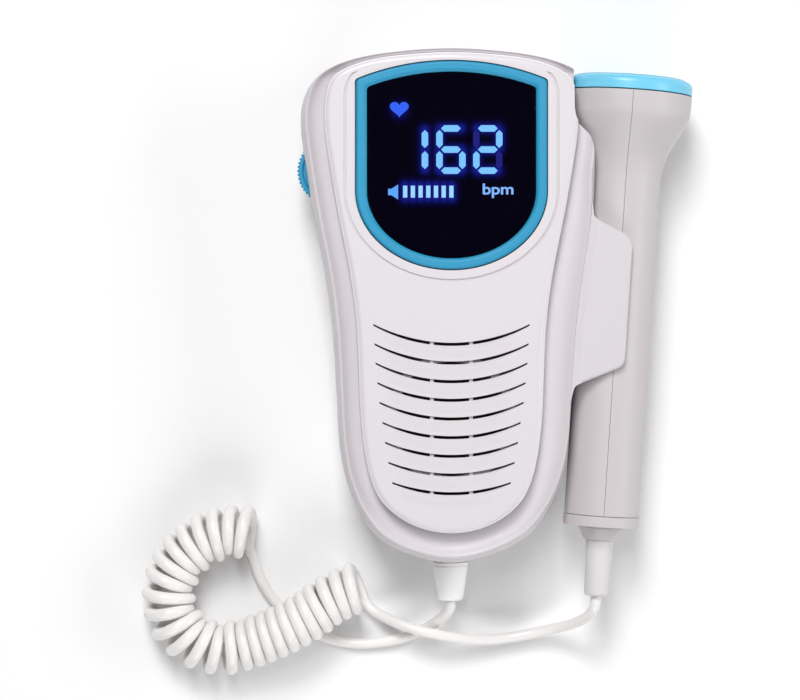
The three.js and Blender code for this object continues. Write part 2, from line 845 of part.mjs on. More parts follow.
function displayBezel() {
  const ring = loft([
    { outline: displayOutline(bezelWidth), z: bezelBottomZ },
    { outline: displayOutline(bezelWidth), z: bezelTopZ - bezelEdge },
    { outline: displayOutline(bezelWidth - bezelEdge), z: bezelTopZ },
  ]);
  const flange = prism(
    displayOutline(bezelWidth + bezelFlange),
    bezelBottomZ,
    bezelBottomZ + bezelFlangeThickness,
  );
  const opening = loft([
    { outline: displayOutline(0), z: bezelBottomZ - overrun },
    { outline: displayOutline(0), z: bezelTopZ - bezelEdge },
    { outline: displayOutline(2 * bezelEdge), z: bezelTopZ + bezelEdge },
  ]);
  const flangeField = prism(inset(panelOutline, panelThickness + gap), bezelBottomZ - overrun, bezelTopZ);
  return ring.add(flange.intersect(flangeField)).subtract(opening);
}

function displayGasket() {
  const plate = prism(displayOutline(-gap), gasketBottomZ, gasketBottomZ + gasketThickness);
  return plate.subtract(
    prism(displayOutline(-gap - gasketWidth), gasketBottomZ - overrun, windowTopZ),
  );
}

function displayModule() {
  const body = block(
    [-moduleHalfWidth, moduleLowY, moduleTopZ - moduleThickness],
    [moduleHalfWidth, moduleHighY, moduleTopZ],
  );
  const pinX = moduleHalfWidth - 3 * modulePinRadius;
  const pinY = 3 * modulePinRadius;
  const boardTopZ = boardBottomZ + boardThickness;
  const pins = [
    [-pinX, moduleLowY + pinY],
    [pinX, moduleLowY + pinY],
    [-pinX, boardHighY - 2 * pinY],
    [pinX, boardHighY - 2 * pinY],
  ].map(([x, y]) => rod(modulePinRadius, x, y, boardTopZ + gap, moduleTopZ - gap, 8));
  return joined(body, ...pins);
}

// Loudspeaker, hung from the face inside its collar
const speakerTopZ = panelTopZ - panelThickness - gap;

function turnedUp(profile, x, y, sides = 24) {
  const geometry = turned(profile, sides);
  geometry.rotateX(Math.PI / 2);
  geometry.translate(x, y, 0);
  return solidOf(geometry);
}

function speakerFrame() {
  const footZ = speakerTopZ - basketDepth;
  const shoulder = speakerRadius - speakerFlangeWidth;
  return turnedUp(
    [
      [speakerRadius, speakerTopZ - speakerFlange],
      [speakerRadius, speakerTopZ],
      [shoulder, speakerTopZ],
      [basketFootRadius - basketWall, footZ + basketWall],
      [domeRadius / 2, footZ + basketWall],
      [domeRadius / 2, footZ],
      [basketFootRadius, footZ],
      [shoulder + basketWall, speakerTopZ - speakerFlange],
      [speakerRadius, speakerTopZ - speakerFlange],
    ],
    0,
    speakerY,
  );
}

// The cone's rim stays clear of the basket, which narrows towards its foot
function speakerCone() {
  const rimZ = speakerTopZ - gap;
  const shoulder = speakerRadius - speakerFlangeWidth;
  const basketSlope = (shoulder - basketFootRadius + basketWall) / (basketDepth - basketWall);
  const rim = shoulder - (coneThickness + 2 * gap) * basketSlope;
  return turnedUp(
    [
      [0, rimZ - coneRise / 2],
      [domeRadius, rimZ - coneRise],
      [rim, rimZ],
      [rim, rimZ - coneThickness],
      [domeRadius, rimZ - coneRise - coneThickness],
      [0, rimZ - coneRise / 2 - coneThickness],
    ],
    0,
    speakerY,
  );
}

function speakerMagnet() {
  const topZ = speakerTopZ - basketDepth - gap;
  return rod(magnetRadius, 0, speakerY, topZ - magnetLength, topZ, 24);
}

// Volume wheel, and the potentiometer under the board that carries it
function volumeWheel() {
  const rim = new THREE.Shape();
  for (let tooth = 0; tooth < 2 * wheelTeeth; tooth += 1) {
    const radius = wheelRadius - (tooth % 2) * toothDepth;
    const angle = (tooth * Math.PI) / wheelTeeth;
    const place = [radius * Math.cos(angle), radius * Math.sin(angle)];
    if (tooth) rim.lineTo(...place);
    else rim.moveTo(...place);
  }
  const bore = new THREE.Path();
  bore.absarc(0, 0, spindleRadius + gap, 0, 2 * Math.PI, true);
  rim.holes.push(bore);
  const wheel = new THREE.ExtrudeGeometry(rim, {
    depth: wheelThickness,
    bevelEnabled: false,
    curveSegments: 6,
  });
  wheel.translate(wheelX, wheelY, wheelZ - wheelThickness / 2);
  return solidOf(wheel);
}

function volumePotentiometer() {
  const top = boardBottomZ - gap;
  const bottom = wheelZ + wheelThickness / 2 + gap;
  const halfDepth = potSize / 2;
  const outside = wheelX - halfDepth / 2;
  const can = block([outside, wheelY - halfDepth, bottom], [outside + potSize, wheelY + halfDepth, top]);
  const tip = wheelZ - wheelThickness / 2 - gap;
  return can.add(rod(spindleRadius, wheelX, wheelY, tip, top, 12));
}

// Main board with its chips
function mainBoard() {
  const outline = roundedPolygon([
    [-boardLowHalfWidth, boardLowY, boardCornerRadius],
    [boardLowHalfWidth, boardLowY, boardCornerRadius],
    [boardHalfWidth, boardCornerY, boardCornerRadius],
    [boardHalfWidth, boardPostY - boardCornerRadius, boardCornerRadius],
    [boardPostX + boardPostRadius, boardHighY, boardCornerRadius],
    [-boardPostX - boardPostRadius, boardHighY, boardCornerRadius],
    [boardWheelX, wheelY + potSize / 2, boardCornerRadius],
    [boardWheelX, wheelY - potSize / 2, boardCornerRadius],
  ]);
  const topZ = boardBottomZ + boardThickness;
  const sheet = prism(outline, boardBottomZ, topZ);
  const chips = [
    [0, moduleLowY + chipSize],
    [chipSize, boardLowY + chipSize],
    [-chipSize, boardLowY + chipSize],
  ].map(([x, y]) =>
    block(
      [x - chipSize / 3, y - chipSize / 3, topZ - gap],
      [x + chipSize / 3, y + chipSize / 3, topZ + chipThickness],
    ),
  );
  return joined(sheet, ...chips);
}

// Cells, their contacts and the door
const cellZ = floorHeight + gap + cellRadius;
const cellLowY = (bayLowY + bayHighY) / 2 - (cellLength + nubLength) / 2;

function batteryCell(x, nubUp) {
  const low = nubUp ? cellLowY : cellLowY + nubLength;
  const can = new THREE.CylinderGeometry(cellRadius, cellRadius, cellLength, 20);
  can.translate(x, low + cellLength / 2, cellZ);
  const nub = new THREE.CylinderGeometry(nubRadius, nubRadius, 2 * nubLength, 12);
  nub.translate(x, nubUp ? low + cellLength : low, cellZ);
  return solidOf(can).add(solidOf(nub));
}

function batteryContact(top) {
  const side = top ? 1 : -1;
  const wallY = top ? bayHighY : bayLowY;
  const back = wallY - side * gap;
  const front = back - side * contactThickness;
  const reach = 2 * cellSpacing - contactStub;
  const plate = block(
    [-reach, Math.min(back, front), cellZ - contactHeight / 2],
    [reach, Math.max(back, front), cellZ + contactHeight / 2],
  );
  const cellEnd = top ? cellLowY + cellLength + nubLength : cellLowY;
  const stubEnd = cellEnd + side * gap;
  const stubs = [-cellSpacing, cellSpacing].map((x) => {
    const low = Math.min(back - side * contactThickness / 2, stubEnd);
    const high = Math.max(back - side * contactThickness / 2, stubEnd);
    const stub = new THREE.CylinderGeometry(contactStub, contactStub, high - low, 10);
    stub.translate(x, (low + high) / 2, cellZ);
    return solidOf(stub);
  });
  return joined(plate, ...stubs);
}

function batteryDoor() {
  const outline = rectangle(doorHalfWidth, doorLowY, doorHighY, doorCornerRadius);
  const bottom = doorTopZ - doorThickness;
  const sheet = prism(outline, bottom, doorTopZ);
  const rib = block(
    [-doorTabX, doorLowY + doorLip + gap + doorTabWidth, doorTopZ - gap],
    [doorTabX, doorLowY + doorLip + gap + doorTabWidth + thinWall, doorTopZ + gap / 3],
  );
  const tabTop = floorHeight + gap + doorTabThickness;
  const tabs = [-doorTabX, doorTabX].map((x) =>
    joined(
      block(
        [x - doorTabWidth / 2, doorLowY, doorTopZ - gap],
        [x + doorTabWidth / 2, doorLowY + doorTabThickness, tabTop],
      ),
      block(
        [x - doorTabWidth / 2, doorLowY - doorTabReach, floorHeight + gap],
        [x + doorTabWidth / 2, doorLowY + doorTabThickness, tabTop],
      ),
    ),
  );
  const grip = rod(gripRadius, 0, doorHighY - gripSetback, -overrun, bottom + gripDepth, 20);
  return joined(sheet, rib, ...tabs).subtract(grip);
}

function caseScrew([x, y]) {
  const head = rod(screwHeadRadius, x, y, screwSink, screwSink + screwHeadHeight);
  const shank = rod(screwShankRadius, x, y, screwSink + screwHeadHeight / 2, screwTipZ, 10);
  const slot = block(
    [x - bossRadius, y - screwSlotWidth / 2, -overrun],
    [x + bossRadius, y + screwSlotWidth / 2, screwSink + screwSlotDepth],
  );
  return head.add(shank).subtract(slot);
}

// Gland: a flange held inside the housing, a neck through its wall and a tapering sleeve outside
function cordGland() {
  const faceY = -bodyEndY + gap;
  const insideY = faceY - gap - wall - gap;
  const geometry = turned([
    [0, insideY - glandFlangeThickness],
    [glandFlangeRadius, insideY - glandFlangeThickness],
    [glandFlangeRadius, insideY],
    [glandNeckRadius, insideY],
    [glandNeckRadius, faceY],
    [glandRadius, faceY],
    [glandRadius, faceY + glandCollar],
    [glandRadius - glandCollarGroove, faceY + glandCollar],
    [glandRadius - glandCollarGroove, faceY + glandCollar + glandCollarGroove],
    [glandTipRadius, faceY + glandLength - glandCollarGroove],
    [glandTipRadius - glandCollarGroove, faceY + glandLength],
    [0, faceY + glandLength],
  ], 20);
  geometry.rotateX(Math.PI);
  geometry.translate(0, 0, glandZ);
  return solidOf(geometry);
}

// Probe pieces, in the probe's own frame: Y runs from the cord end to the face
function probeShell() {
  const outside = [
    [0, shellFoot],
    [endRingSeat, shellFoot],
    [endRingSeat, endRingStart + endRingLength + gap],
    [handleFootRadius, endRingStart + endRingLength + gap],
    ...probeProfile(0),
  ];
  const floorTop = shellFoot + probeFootWall;
  const inside = [
    [headRadius - probeWall, headEnd],
    ...probeProfile(-probeWall).slice(0, -1).reverse(),
    [handleRadius - probeWall, floorTop + endRingLength + probeWall],
    [endRingSeat - probeWall, floorTop + endRingLength],
    [endRingSeat - probeWall, floorTop],
    [0, floorTop],
  ];
  const cup = solidOf(turned([...outside, ...inside]));
  const hole = solidOf(turned([
    [0, shellFoot - overrun],
    [reliefNeckRadius + gap, shellFoot - overrun],
    [reliefNeckRadius + gap, floorTop + gap],
    [0, floorTop + gap],
  ], 16));
  return cup.subtract(hole);
}

function probeHalf(side) {
  const far = headRadius + overrun;
  const near = gap / 2;
  const half = block(
    [side > 0 ? near : -far, -overrun, -far],
    [side > 0 ? far : -near, headEnd + overrun, far],
  );
  return probeShell().intersect(half);
}

const capStart = headEnd + gap;
const capInner = headRadius - probeWall - gap;
const transducerRadius = capInner - capRimWidth - transducerMargin;

function probeFaceCap() {
  const top = capStart + capThickness;
  return turned([
    [0, capStart],
    [capInner - capRimWidth, capStart],
    [capInner - capRimWidth, capStart - capRim],
    [capInner, capStart - capRim],
    [capInner, capStart],
    [headRadius, capStart],
    [headRadius, top - capEdge],
    [headRadius - capEdge * 0.3, top - capEdge * 0.4],
    [headRadius - capEdge, top - capEdge * 0.1],
    [headRadius - 4 * capEdge, top],
    [0, top],
  ], 32);
}

function probeSeal() {
  const outer = capInner;
  const start = capStart - capRim - gap - sealSection;
  return turned([
    [outer - 2 * sealSection, start],
    [outer, start],
    [outer, start + sealSection],
    [outer - 2 * sealSection, start + sealSection],
    [outer - 2 * sealSection, start],
  ]);
}

function disc(radius, low, high, sides = 24) {
  return turned([
    [0, low],
    [radius, low],
    [radius, high],
    [0, high],
  ], sides);
}

function probeEndRing() {
  const inner = endRingSeat + gap;
  const end = endRingStart + endRingLength;
  return turned([
    [inner, endRingStart],
    [endRingRadius - gap, endRingStart],
    [endRingRadius, endRingStart + gap],
    [endRingRadius, end - gap],
    [endRingRadius - gap, end],
    [inner, end],
    [inner, endRingStart],
  ]);
}

function probeStrainRelief() {
  const collarTop = shellFoot - gap;
  const collarFoot = collarTop - reliefCollarLength;
  const tip = collarFoot - reliefLength;
  const flangeLow = shellFoot + probeFootWall + gap;
  return turned([
    [0, tip],
    [reliefTipRadius - gap, tip],
    [reliefTipRadius, tip + gap],
    [reliefRadius, collarFoot],
    [reliefCollarTip, collarFoot],
    [reliefCollarRadius, collarTop],
    [reliefNeckRadius, collarTop],
    [reliefNeckRadius, flangeLow],
    [reliefFlangeRadius, flangeLow],
    [reliefFlangeRadius, flangeLow + reliefFlangeThickness],
    [0, flangeLow + reliefFlangeThickness],
  ], 20);
}

function probeBoard() {
  const inner = handleRadius - probeWall;
  const halfWidth = Math.sqrt(inner ** 2 - probeBoardThickness ** 2) - gap;
  const sheet = block(
    [-halfWidth, probeBoardStart, -probeBoardThickness / 2],
    [halfWidth, probeBoardStart + probeBoardLength, probeBoardThickness / 2],
  );
  const chip = block(
    [-halfWidth / 2, probeBoardStart + halfWidth, 0],
    [halfWidth / 2, probeBoardStart + 2 * halfWidth, 2 * probeBoardThickness],
  );
  return sheet.add(chip);
}

// Curly cord: the coil's middle line is walked in small strides, and the curls advance so that
// neighbours keep the same gap on the inner side of each bend.
const bendOf = ([length, turn]) => THREE.MathUtils.degToRad(turn) / length;
const pitchOf = (arc) => (cordDiameter + curlGap) / (1 - curlRadius * Math.abs(bendOf(arc)));

function coilMiddleLine() {
  const stride = cordDiameter / 60;
  const places = [];
  let heading = THREE.MathUtils.degToRad(coilStartHeading);
  let along = 0;
  let turns = 0;
  const place = new THREE.Vector2(coilStartX, coilStartY);
  for (const arc of coilArcs) {
    const [length] = arc;
    const bend = bendOf(arc);
    const pitch = pitchOf(arc);
    const count = Math.round(length / stride);
    for (let i = 0; i < count; i += 1) {
      places.push({ x: place.x, y: place.y, heading, along, turns });
      const step = length / count;
      place.x += Math.cos(heading + (bend * step) / 2) * step;
      place.y += Math.sin(heading + (bend * step) / 2) * step;
      heading += bend * step;
      along += step;
      turns += step / pitch;
    }
  }
  places.push({ x: place.x, y: place.y, heading, along, turns });
  return places;
}

function curlyCordPath() {
  const places = coilMiddleLine();
  const wholeTurns = Math.floor(places.at(-1).turns);
  const perTurn = places.at(-1).turns / wholeTurns;
  const points = [];
  let index = 0;
  for (let step = 0; step <= wholeTurns * curlSteps; step += 1) {
    const wanted = (step / curlSteps) * perTurn;
    while (index + 1 < places.length && places[index + 1].turns <= wanted) index += 1;
    const { x, y, heading, along } = places[index];
    const phase = (2 * Math.PI * step) / curlSteps;
    const sideways = curlRadius * Math.sin(phase);
    const rise = crossingLift * Math.exp(-(((along - coilCrossingAlong) / crossingReach) ** 2));
    const middleZ = cordLift + cordDiameter / 2 + curlRadius + rise;
    points.push(
      new THREE.Vector3(
        x + sideways * Math.sin(heading),
        y - sideways * Math.cos(heading),
        middleZ - curlRadius * Math.cos(phase),
      ),
    );
  }
  return { points, wholeTurns, places };
}

// The direction in which the cord leaves a curl at its lowest point
function curlTangent({ heading }, pitch) {
  const forward = pitch / (2 * Math.PI * curlRadius);
  return new THREE.Vector3(
    Math.sin(heading) + forward * Math.cos(heading),
    -Math.cos(heading) + forward * Math.sin(heading),
    0,
  ).normalize();
}

// A tube of flat sides round a line of points, closed at both ends
function woundTube(points, radius, sides) {
  const tangents = points.map((point, i) => {
    const next = points[Math.min(i + 1, points.length - 1)];
    const previous = points[Math.max(i - 1, 0)];
    return next.clone().sub(previous).normalize();
  });
  const positions = [];
  const faces = [];
  let across = new THREE.Vector3(0, 0, 1);
  points.forEach((point, i) => {
    across = across.addScaledVector(tangents[i], -across.dot(tangents[i])).normalize();
    const up = new THREE.Vector3().crossVectors(tangents[i], across);
    for (let side = 0; side < sides; side += 1) {
      const angle = (2 * Math.PI * side) / sides;
      const corner = point
        .clone()
        .addScaledVector(across, radius * Math.cos(angle))
        .addScaledVector(up, radius * Math.sin(angle));
      positions.push(corner.x, corner.y, corner.z);
    }
  });
  for (let i = 0; i + 1 < points.length; i += 1) {
    for (let side = 0; side < sides; side += 1) {
      const a = i * sides + side;
      const b = i * sides + ((side + 1) % sides);
      faces.push(a, b, b + sides, a, b + sides, a + sides);
    }
  }
  const last = (points.length - 1) * sides;
  for (let side = 1; side + 1 < sides; side += 1) {
    faces.push(0, side + 1, side);
    faces.push(last, last + side, last + side + 1);
  }
  return solidFrom(positions, faces);
}

// Least gap between stretches of the wound tube that are more than half a curl apart
function leastGap(points) {
  let least = Infinity;
  const nearest = new THREE.Vector3();
  points.forEach((point, i) => {
    for (let j = i + curlSteps / 2; j + 1 < points.length; j += 1) {
      new THREE.Line3(points[j], points[j + 1]).closestPointToPoint(point, true, nearest);
      least = Math.min(least, nearest.distanceTo(point) - cordDiameter);
    }
  });
  return least;
}

// A plain lead through its laid points, in a section of flat sides
function lead(points) {
  const path = new THREE.CatmullRomCurve3(points, false, "centripetal");
  const section = new THREE.Shape();
  for (let side = 0; side < cordSides; side += 1) {
    const angle = (2 * Math.PI * side) / cordSides;
    const place = [(cordDiameter / 2) * Math.cos(angle), (cordDiameter / 2) * Math.sin(angle)];
    if (side) section.lineTo(...place);
    else section.moveTo(...place);
  }
  console.log("lead length " + path.getLength().toFixed(1) + " mm");
  return new THREE.ExtrudeGeometry(section, { steps: leadSteps, bevelEnabled: false, extrudePath: path });
}

const curl = curlyCordPath();
const firstPlace = curl.places[0];
const lastPlace = curl.places.at(-1);
const startTangent = curlTangent(firstPlace, pitchOf(coilArcs[0]));
const endTangent = curlTangent(lastPlace, pitchOf(coilArcs.at(-1)));
const coilStart = curl.points[0].clone().addScaledVector(startTangent, -cordDiameter);
const coilEnd = curl.points.at(-1).clone().addScaledVector(endTangent, cordDiameter);
const woundPath = [coilStart, ...curl.points, coilEnd];
console.log(
  curl.wholeTurns + " curls, least gap " + leastGap(woundPath).toFixed(2) + " mm",
);

const reliefTip = new THREE.Vector3(0, shellFoot - gap - reliefCollarLength - reliefLength - gap, 0);
reliefTip.applyMatrix4(probe.matrixWorld);
const toVectors = (route) => route.map(([x, y, z]) => new THREE.Vector3(x, y, z));
const probeAxis = new THREE.Vector3(Math.sin(probeTilt), Math.cos(probeTilt), 0);
const straight = cordDiameter / 2; // how far each lead runs straight from its ends
const glandTip = new THREE.Vector3(0, bodyEndY - gap - glandLength - gap, glandZ);
const bodyLeadPoints = [
  glandTip,
  glandTip.clone().setY(glandTip.y - straight),
  ...toVectors(bodyLeadRoute),
  coilStart.clone().addScaledVector(startTangent, -gap - straight),
  coilStart.clone().addScaledVector(startTangent, -gap),
];
const probeLeadPoints = [
  coilEnd.clone().addScaledVector(endTangent, gap),
  coilEnd.clone().addScaledVector(endTangent, gap + straight),
  ...toVectors(probeLeadRoute),
  reliefTip.clone().addScaledVector(probeAxis, -straight),
  reliefTip,
];

// Housing pieces
piece("rear_shell", rearShell(), "housing");
piece("front_shell", frontShell(), "housing");
piece("face_panel", facePanel(), "face");
piece("display_bezel", displayBezel(), "turquoise");
piece("display_window", prism(displayOutline(-gap), windowBottomZ, windowTopZ), "glass");
piece("display_gasket", displayGasket(), "foam");
piece("display_module", displayModule(), "display");
piece("main_board", mainBoard(), "board");
piece("speaker_frame", speakerFrame(), "steel");
piece("speaker_cone", speakerCone(), "paper");
piece("speaker_magnet", speakerMagnet(), "steel");
piece("volume_wheel", volumeWheel(), "turquoise");
piece("volume_potentiometer", volumePotentiometer(), "display");
piece("battery_door", batteryDoor(), "housing");
piece("battery_cell_left", batteryCell(-cellSpacing, true), "cell");
piece("battery_cell_right", batteryCell(cellSpacing, false), "cell");
piece("battery_contact_top", batteryContact(true), "steel");
piece("battery_contact_bottom", batteryContact(false), "steel");
screwPlaces.forEach((place, i) => piece("case_screw_" + (i + 1), caseScrew(place), "steel"));
piece("cord_gland", cordGland(), "rubber");

// Probe pieces
const transducerTop = capStart - gap;
const transducerLow = transducerTop - transducerThickness;
piece("probe_shell_left", probeHalf(-1), "probeBody", probe);
piece("probe_shell_right", probeHalf(1), "probeBody", probe);
piece("probe_end_ring", probeEndRing(), "probeBody", probe);
piece("probe_face_cap", probeFaceCap(), "turquoise", probe);
piece("probe_seal", probeSeal(), "foam", probe);
piece("probe_transducer", disc(transducerRadius, transducerLow, transducerTop), "ceramic", probe);
piece(
  "probe_backing",
  disc(transducerRadius, transducerLow - gap - backingLength, transducerLow - gap),
  "foam",
  probe,
);
piece("probe_board", probeBoard(), "board", probe);
piece("probe_strain_relief", probeStrainRelief(), "rubber", probe);

// Cord
piece("cord_body_lead", lead(bodyLeadPoints), "cord");
piece("curly_cord", woundTube(woundPath, cordDiameter / 2, curlSides), "cord");
piece("cord_probe_lead", lead(probeLeadPoints), "cord");

export default doppler;
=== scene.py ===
import bmesh
import bpy
import numpy as np
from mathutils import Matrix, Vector


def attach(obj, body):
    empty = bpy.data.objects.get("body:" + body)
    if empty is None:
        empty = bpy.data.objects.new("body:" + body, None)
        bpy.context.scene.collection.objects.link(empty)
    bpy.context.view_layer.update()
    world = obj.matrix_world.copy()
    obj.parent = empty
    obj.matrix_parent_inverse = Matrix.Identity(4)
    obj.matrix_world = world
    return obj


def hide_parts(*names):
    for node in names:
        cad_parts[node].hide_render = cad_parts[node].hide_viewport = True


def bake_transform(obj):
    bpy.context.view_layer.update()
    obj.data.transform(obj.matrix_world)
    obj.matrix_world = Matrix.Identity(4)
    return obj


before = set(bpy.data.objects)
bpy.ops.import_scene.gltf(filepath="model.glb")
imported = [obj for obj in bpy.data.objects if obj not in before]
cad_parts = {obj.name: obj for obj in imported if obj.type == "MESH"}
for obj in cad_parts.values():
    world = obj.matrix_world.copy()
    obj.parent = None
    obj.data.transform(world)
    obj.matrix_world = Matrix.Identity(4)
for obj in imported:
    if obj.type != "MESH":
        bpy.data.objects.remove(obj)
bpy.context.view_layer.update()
scene = bpy.context.scene
scene.view_settings.view_transform = "Standard"
mm = 0.001  # every table below is in millimetres
print("frame loaded")

# camera straight above the face, at the photograph's framing
cameraTable = {"place": (-13.65, -12.3, 850), "lens": 138.7, "sensor": 36}
cameraData = bpy.data.cameras.new("camera")
cameraData.lens = cameraTable["lens"]
cameraData.sensor_width = cameraTable["sensor"]
cameraData.clip_end = 20
camera = bpy.data.objects.new("camera", cameraData)
camera.location = [value * mm for value in cameraTable["place"]]
scene.collection.objects.link(camera)
scene.camera = camera


# helpers for surfaces
def weld(piece, distance=0.0008):
    # doubles at poles are merged, then the normals are turned outwards
    work = bmesh.new()
    work.from_mesh(piece.data)
    bmesh.ops.remove_doubles(work, verts=work.verts, dist=distance * mm)
    bmesh.ops.dissolve_degenerate(work, edges=work.edges, dist=distance * mm * 0.5)
    bmesh.ops.recalc_face_normals(work, faces=work.faces)
    work.to_mesh(piece.data)
    work.free()
    return piece


def gridSolid(name, grid, caps=True):
    # grid[i, j] is the point of row i and column j: neighbours are joined by quads, the columns close
    # into a ring, and caps close the first and last rows by one face each
    rows, columns = grid.shape[:2]
    i, j = np.meshgrid(np.arange(rows - 1), np.arange(columns), indexing="ij")
    here = (i * columns + j).ravel()
    beside = (i * columns + (j + 1) % columns).ravel()
    loops = np.stack([here, beside, beside + columns, here + columns], axis=1).ravel()
    totals = np.full(len(here), 4)
    if caps:
        ring = np.arange(columns)
        loops = np.concatenate([loops, ring[::-1], (rows - 1) * columns + ring])
        totals = np.concatenate([totals, [columns, columns]])
    mesh = bpy.data.meshes.new(name)
    mesh.vertices.add(rows * columns)
    mesh.vertices.foreach_set("co", (grid.reshape(-1, 3) * mm).astype(np.float32).ravel())
    mesh.loops.add(len(loops))
    mesh.loops.foreach_set("vertex_index", loops.astype(np.int32))
    mesh.polygons.add(len(totals))
    mesh.polygons.foreach_set("loop_start", (np.cumsum(totals) - totals).astype(np.int32))
    mesh.update(calc_edges=True)
    mesh.validate()
    piece = bpy.data.objects.new(name, mesh)
    scene.collection.objects.link(piece)
    return weld(piece)


def combine(piece, tools, operation="DIFFERENCE", keep=False):
    # the result becomes the piece's own mesh, and the tools are used up unless they are kept
    for tool in tools:
        step = piece.modifiers.new("step", "BOOLEAN")
        step.operation, step.solver, step.object = operation, "MANIFOLD", tool
    mesh = bpy.data.meshes.new_from_object(piece.evaluated_get(bpy.context.evaluated_depsgraph_get()))
    mesh.name = piece.name
    piece.modifiers.clear()
    piece.data = mesh
    for tool in [] if keep else tools:
        bpy.data.objects.remove(tool)


def meshPoints(mesh):
    points = np.empty(len(mesh.vertices) * 3)
    mesh.vertices.foreach_get("co", points)
    return points.reshape(-1, 3)


def placed(points, matrix):
    return points @ matrix[:3, :3].T + matrix[:3, 3]


def frameAt(place, axes=np.eye(3)):
    matrix = np.eye(4)
    matrix[:3, :3], matrix[:3, 3] = axes, place
    return matrix


def lifted(ring, z):
    return np.column_stack([ring, np.full(len(ring), z)])


def circle(radius, place=(0, 0), sides=48):
    angle = np.linspace(0, 2 * np.pi, sides, endpoint=False)
    return np.column_stack([place[0] + radius * np.cos(angle), place[1] + radius * np.sin(angle)])


def turned(name, profile, sides, matrix):
    # radius and height of the profile, turned about the local Y axis
    profile = np.asarray(profile, float)
    angle = np.linspace(0, 2 * np.pi, sides, endpoint=False)
    radius, along = profile[:, :1], profile[:, 1:]
    grid = np.stack([radius * np.cos(angle), along + 0 * angle, radius * np.sin(angle)], axis=2)
    return gridSolid(name, placed(grid, matrix))


def drum(name, radius, low, high, sides, matrix):
    return turned(name, [(0, low), (radius, low), (radius, high), (0, high)], sides, matrix)


def stack(name, outlines, heights):
    # outlines at rising heights, joined into one closed solid
    return gridSolid(name, np.stack([lifted(ring, z) for ring, z in zip(outlines, heights)]))


def prism(name, outline, low, high):
    return stack(name, [outline, outline], [low, high])


def box(name, low, high, matrix=np.eye(4)):
    (x0, y0, z0), (x1, y1, z1) = low, high
    ring = np.array([[x0, y0], [x1, y0], [x1, y1], [x0, y1]])
    return gridSolid(name, placed(np.stack([lifted(ring, z) for z in (z0, z1)]), matrix))


def rod(name, radius, place, low, high, sides=48):
    return prism(name, circle(radius, place, sides), low, high)


def catmullRom(points, perSpan):
    # centripetal spline through the points: knots grow with the square root of the distance
    points = np.asarray(points, float)
    padded = np.vstack([2 * points[0] - points[1], points, 2 * points[-1] - points[-2]])
    steps = np.linalg.norm(np.diff(padded, axis=0), axis=1) ** 0.5
    p0, p1, p2, p3 = padded[:-3], padded[1:-2], padded[2:-1], padded[3:]
    d0, d1, d2 = steps[:-2, None], steps[1:-1, None], steps[2:, None]
    m1 = (p2 - p1) + d1 * ((p1 - p0) / d0 - (p2 - p0) / (d0 + d1))
    m2 = (p2 - p1) + d1 * ((p3 - p2) / d2 - (p3 - p1) / (d1 + d2))
    u = np.linspace(0, 1, perSpan, endpoint=False)[None, :, None]
    h = (2 * u**3 - 3 * u**2 + 1) * p1[:, None] + (u**3 - 2 * u**2 + u) * m1[:, None]
    h = h + (3 * u**2 - 2 * u**3) * p2[:, None] + (u**3 - u**2) * m2[:, None]
    return np.vstack([h.reshape(-1, points.shape[1]), points[-1:]])


def closedSpline(knots, perSpan):
    # periodic cubic spline with continuous curvature, knots at chord length
    knots = np.asarray(knots, float)
    h = np.linalg.norm(np.roll(knots, -1, axis=0) - knots, axis=1)
    before, n = np.roll(h, 1), len(knots)
    rule, index = np.zeros((n, n)), np.arange(n)
    rule[index, index] = 2 * (before + h)
    rule[index, (index - 1) % n] += before
    rule[index, (index + 1) % n] += h
    slope = (np.roll(knots, -1, axis=0) - knots) / h[:, None]
    bend = np.linalg.solve(rule, 6 * (slope - np.roll(slope, 1, axis=0)))
    u = np.linspace(0, 1, perSpan, endpoint=False)[None, :, None]
    a, b = knots[:, None], np.roll(knots, -1, axis=0)[:, None]
    ma, mb = bend[:, None], np.roll(bend, -1, axis=0)[:, None]
    line = (1 - u) * a + u * b
    curve = line + (h**2)[:, None, None] / 6 * (((1 - u) ** 3 - (1 - u)) * ma + (u**3 - u) * mb)
    return curve.reshape(-1, knots.shape[1])


def smoothStep(value):
    value = np.clip(value, 0, 1)
    return value * value * (3 - 2 * value)


def inset(ring, distance):
    # each point moves inwards, square to the outline, for a ring that runs anticlockwise
    along = np.roll(ring, -1, axis=0) - np.roll(ring, 1, axis=0)
    along /= np.linalg.norm(along, axis=1, keepdims=True)
    return ring + distance * np.column_stack([-along[:, 1], along[:, 0]])


def rounded(corners, steps, closed=False):
    # corners as x, y and size: a parabolic arc takes each one's place. The size is the radius on a closed
    # ring, and how far the arc reaches along both sides on an open profile
    rows, u = [], np.linspace(0, 1, steps + 1)[:, None]
    flat = np.array([corner[:2] for corner in corners], float)
    for index, (corner, size) in enumerate(zip(flat, [corner[2] for corner in corners])):
        if not size or (not closed and index in (0, len(flat) - 1)):
            rows.append(corner[None])
            continue
        before, after = flat[index - 1] - corner, flat[(index + 1) % len(flat)] - corner
        before, after = before / np.linalg.norm(before), after / np.linalg.norm(after)
        reach = size / np.tan(np.arccos(np.clip(before @ after, -1, 1)) / 2) if closed else size
        start, end = corner + before * reach, corner + after * reach
        rows.append((1 - u) ** 2 * start + 2 * u * (1 - u) * corner + u**2 * end)
    return np.vstack(rows)


def densely(ring, spacing):
    # a closed ring of points, spaced evenly along its length
    closed = np.vstack([ring, ring[:1]])
    length = np.concatenate([[0], np.cumsum(np.linalg.norm(np.diff(closed, axis=0), axis=1))])
    at = np.linspace(0, length[-1], int(length[-1] / spacing), endpoint=False)
    return np.column_stack([np.interp(at, length, closed[:, axis]) for axis in range(2)])


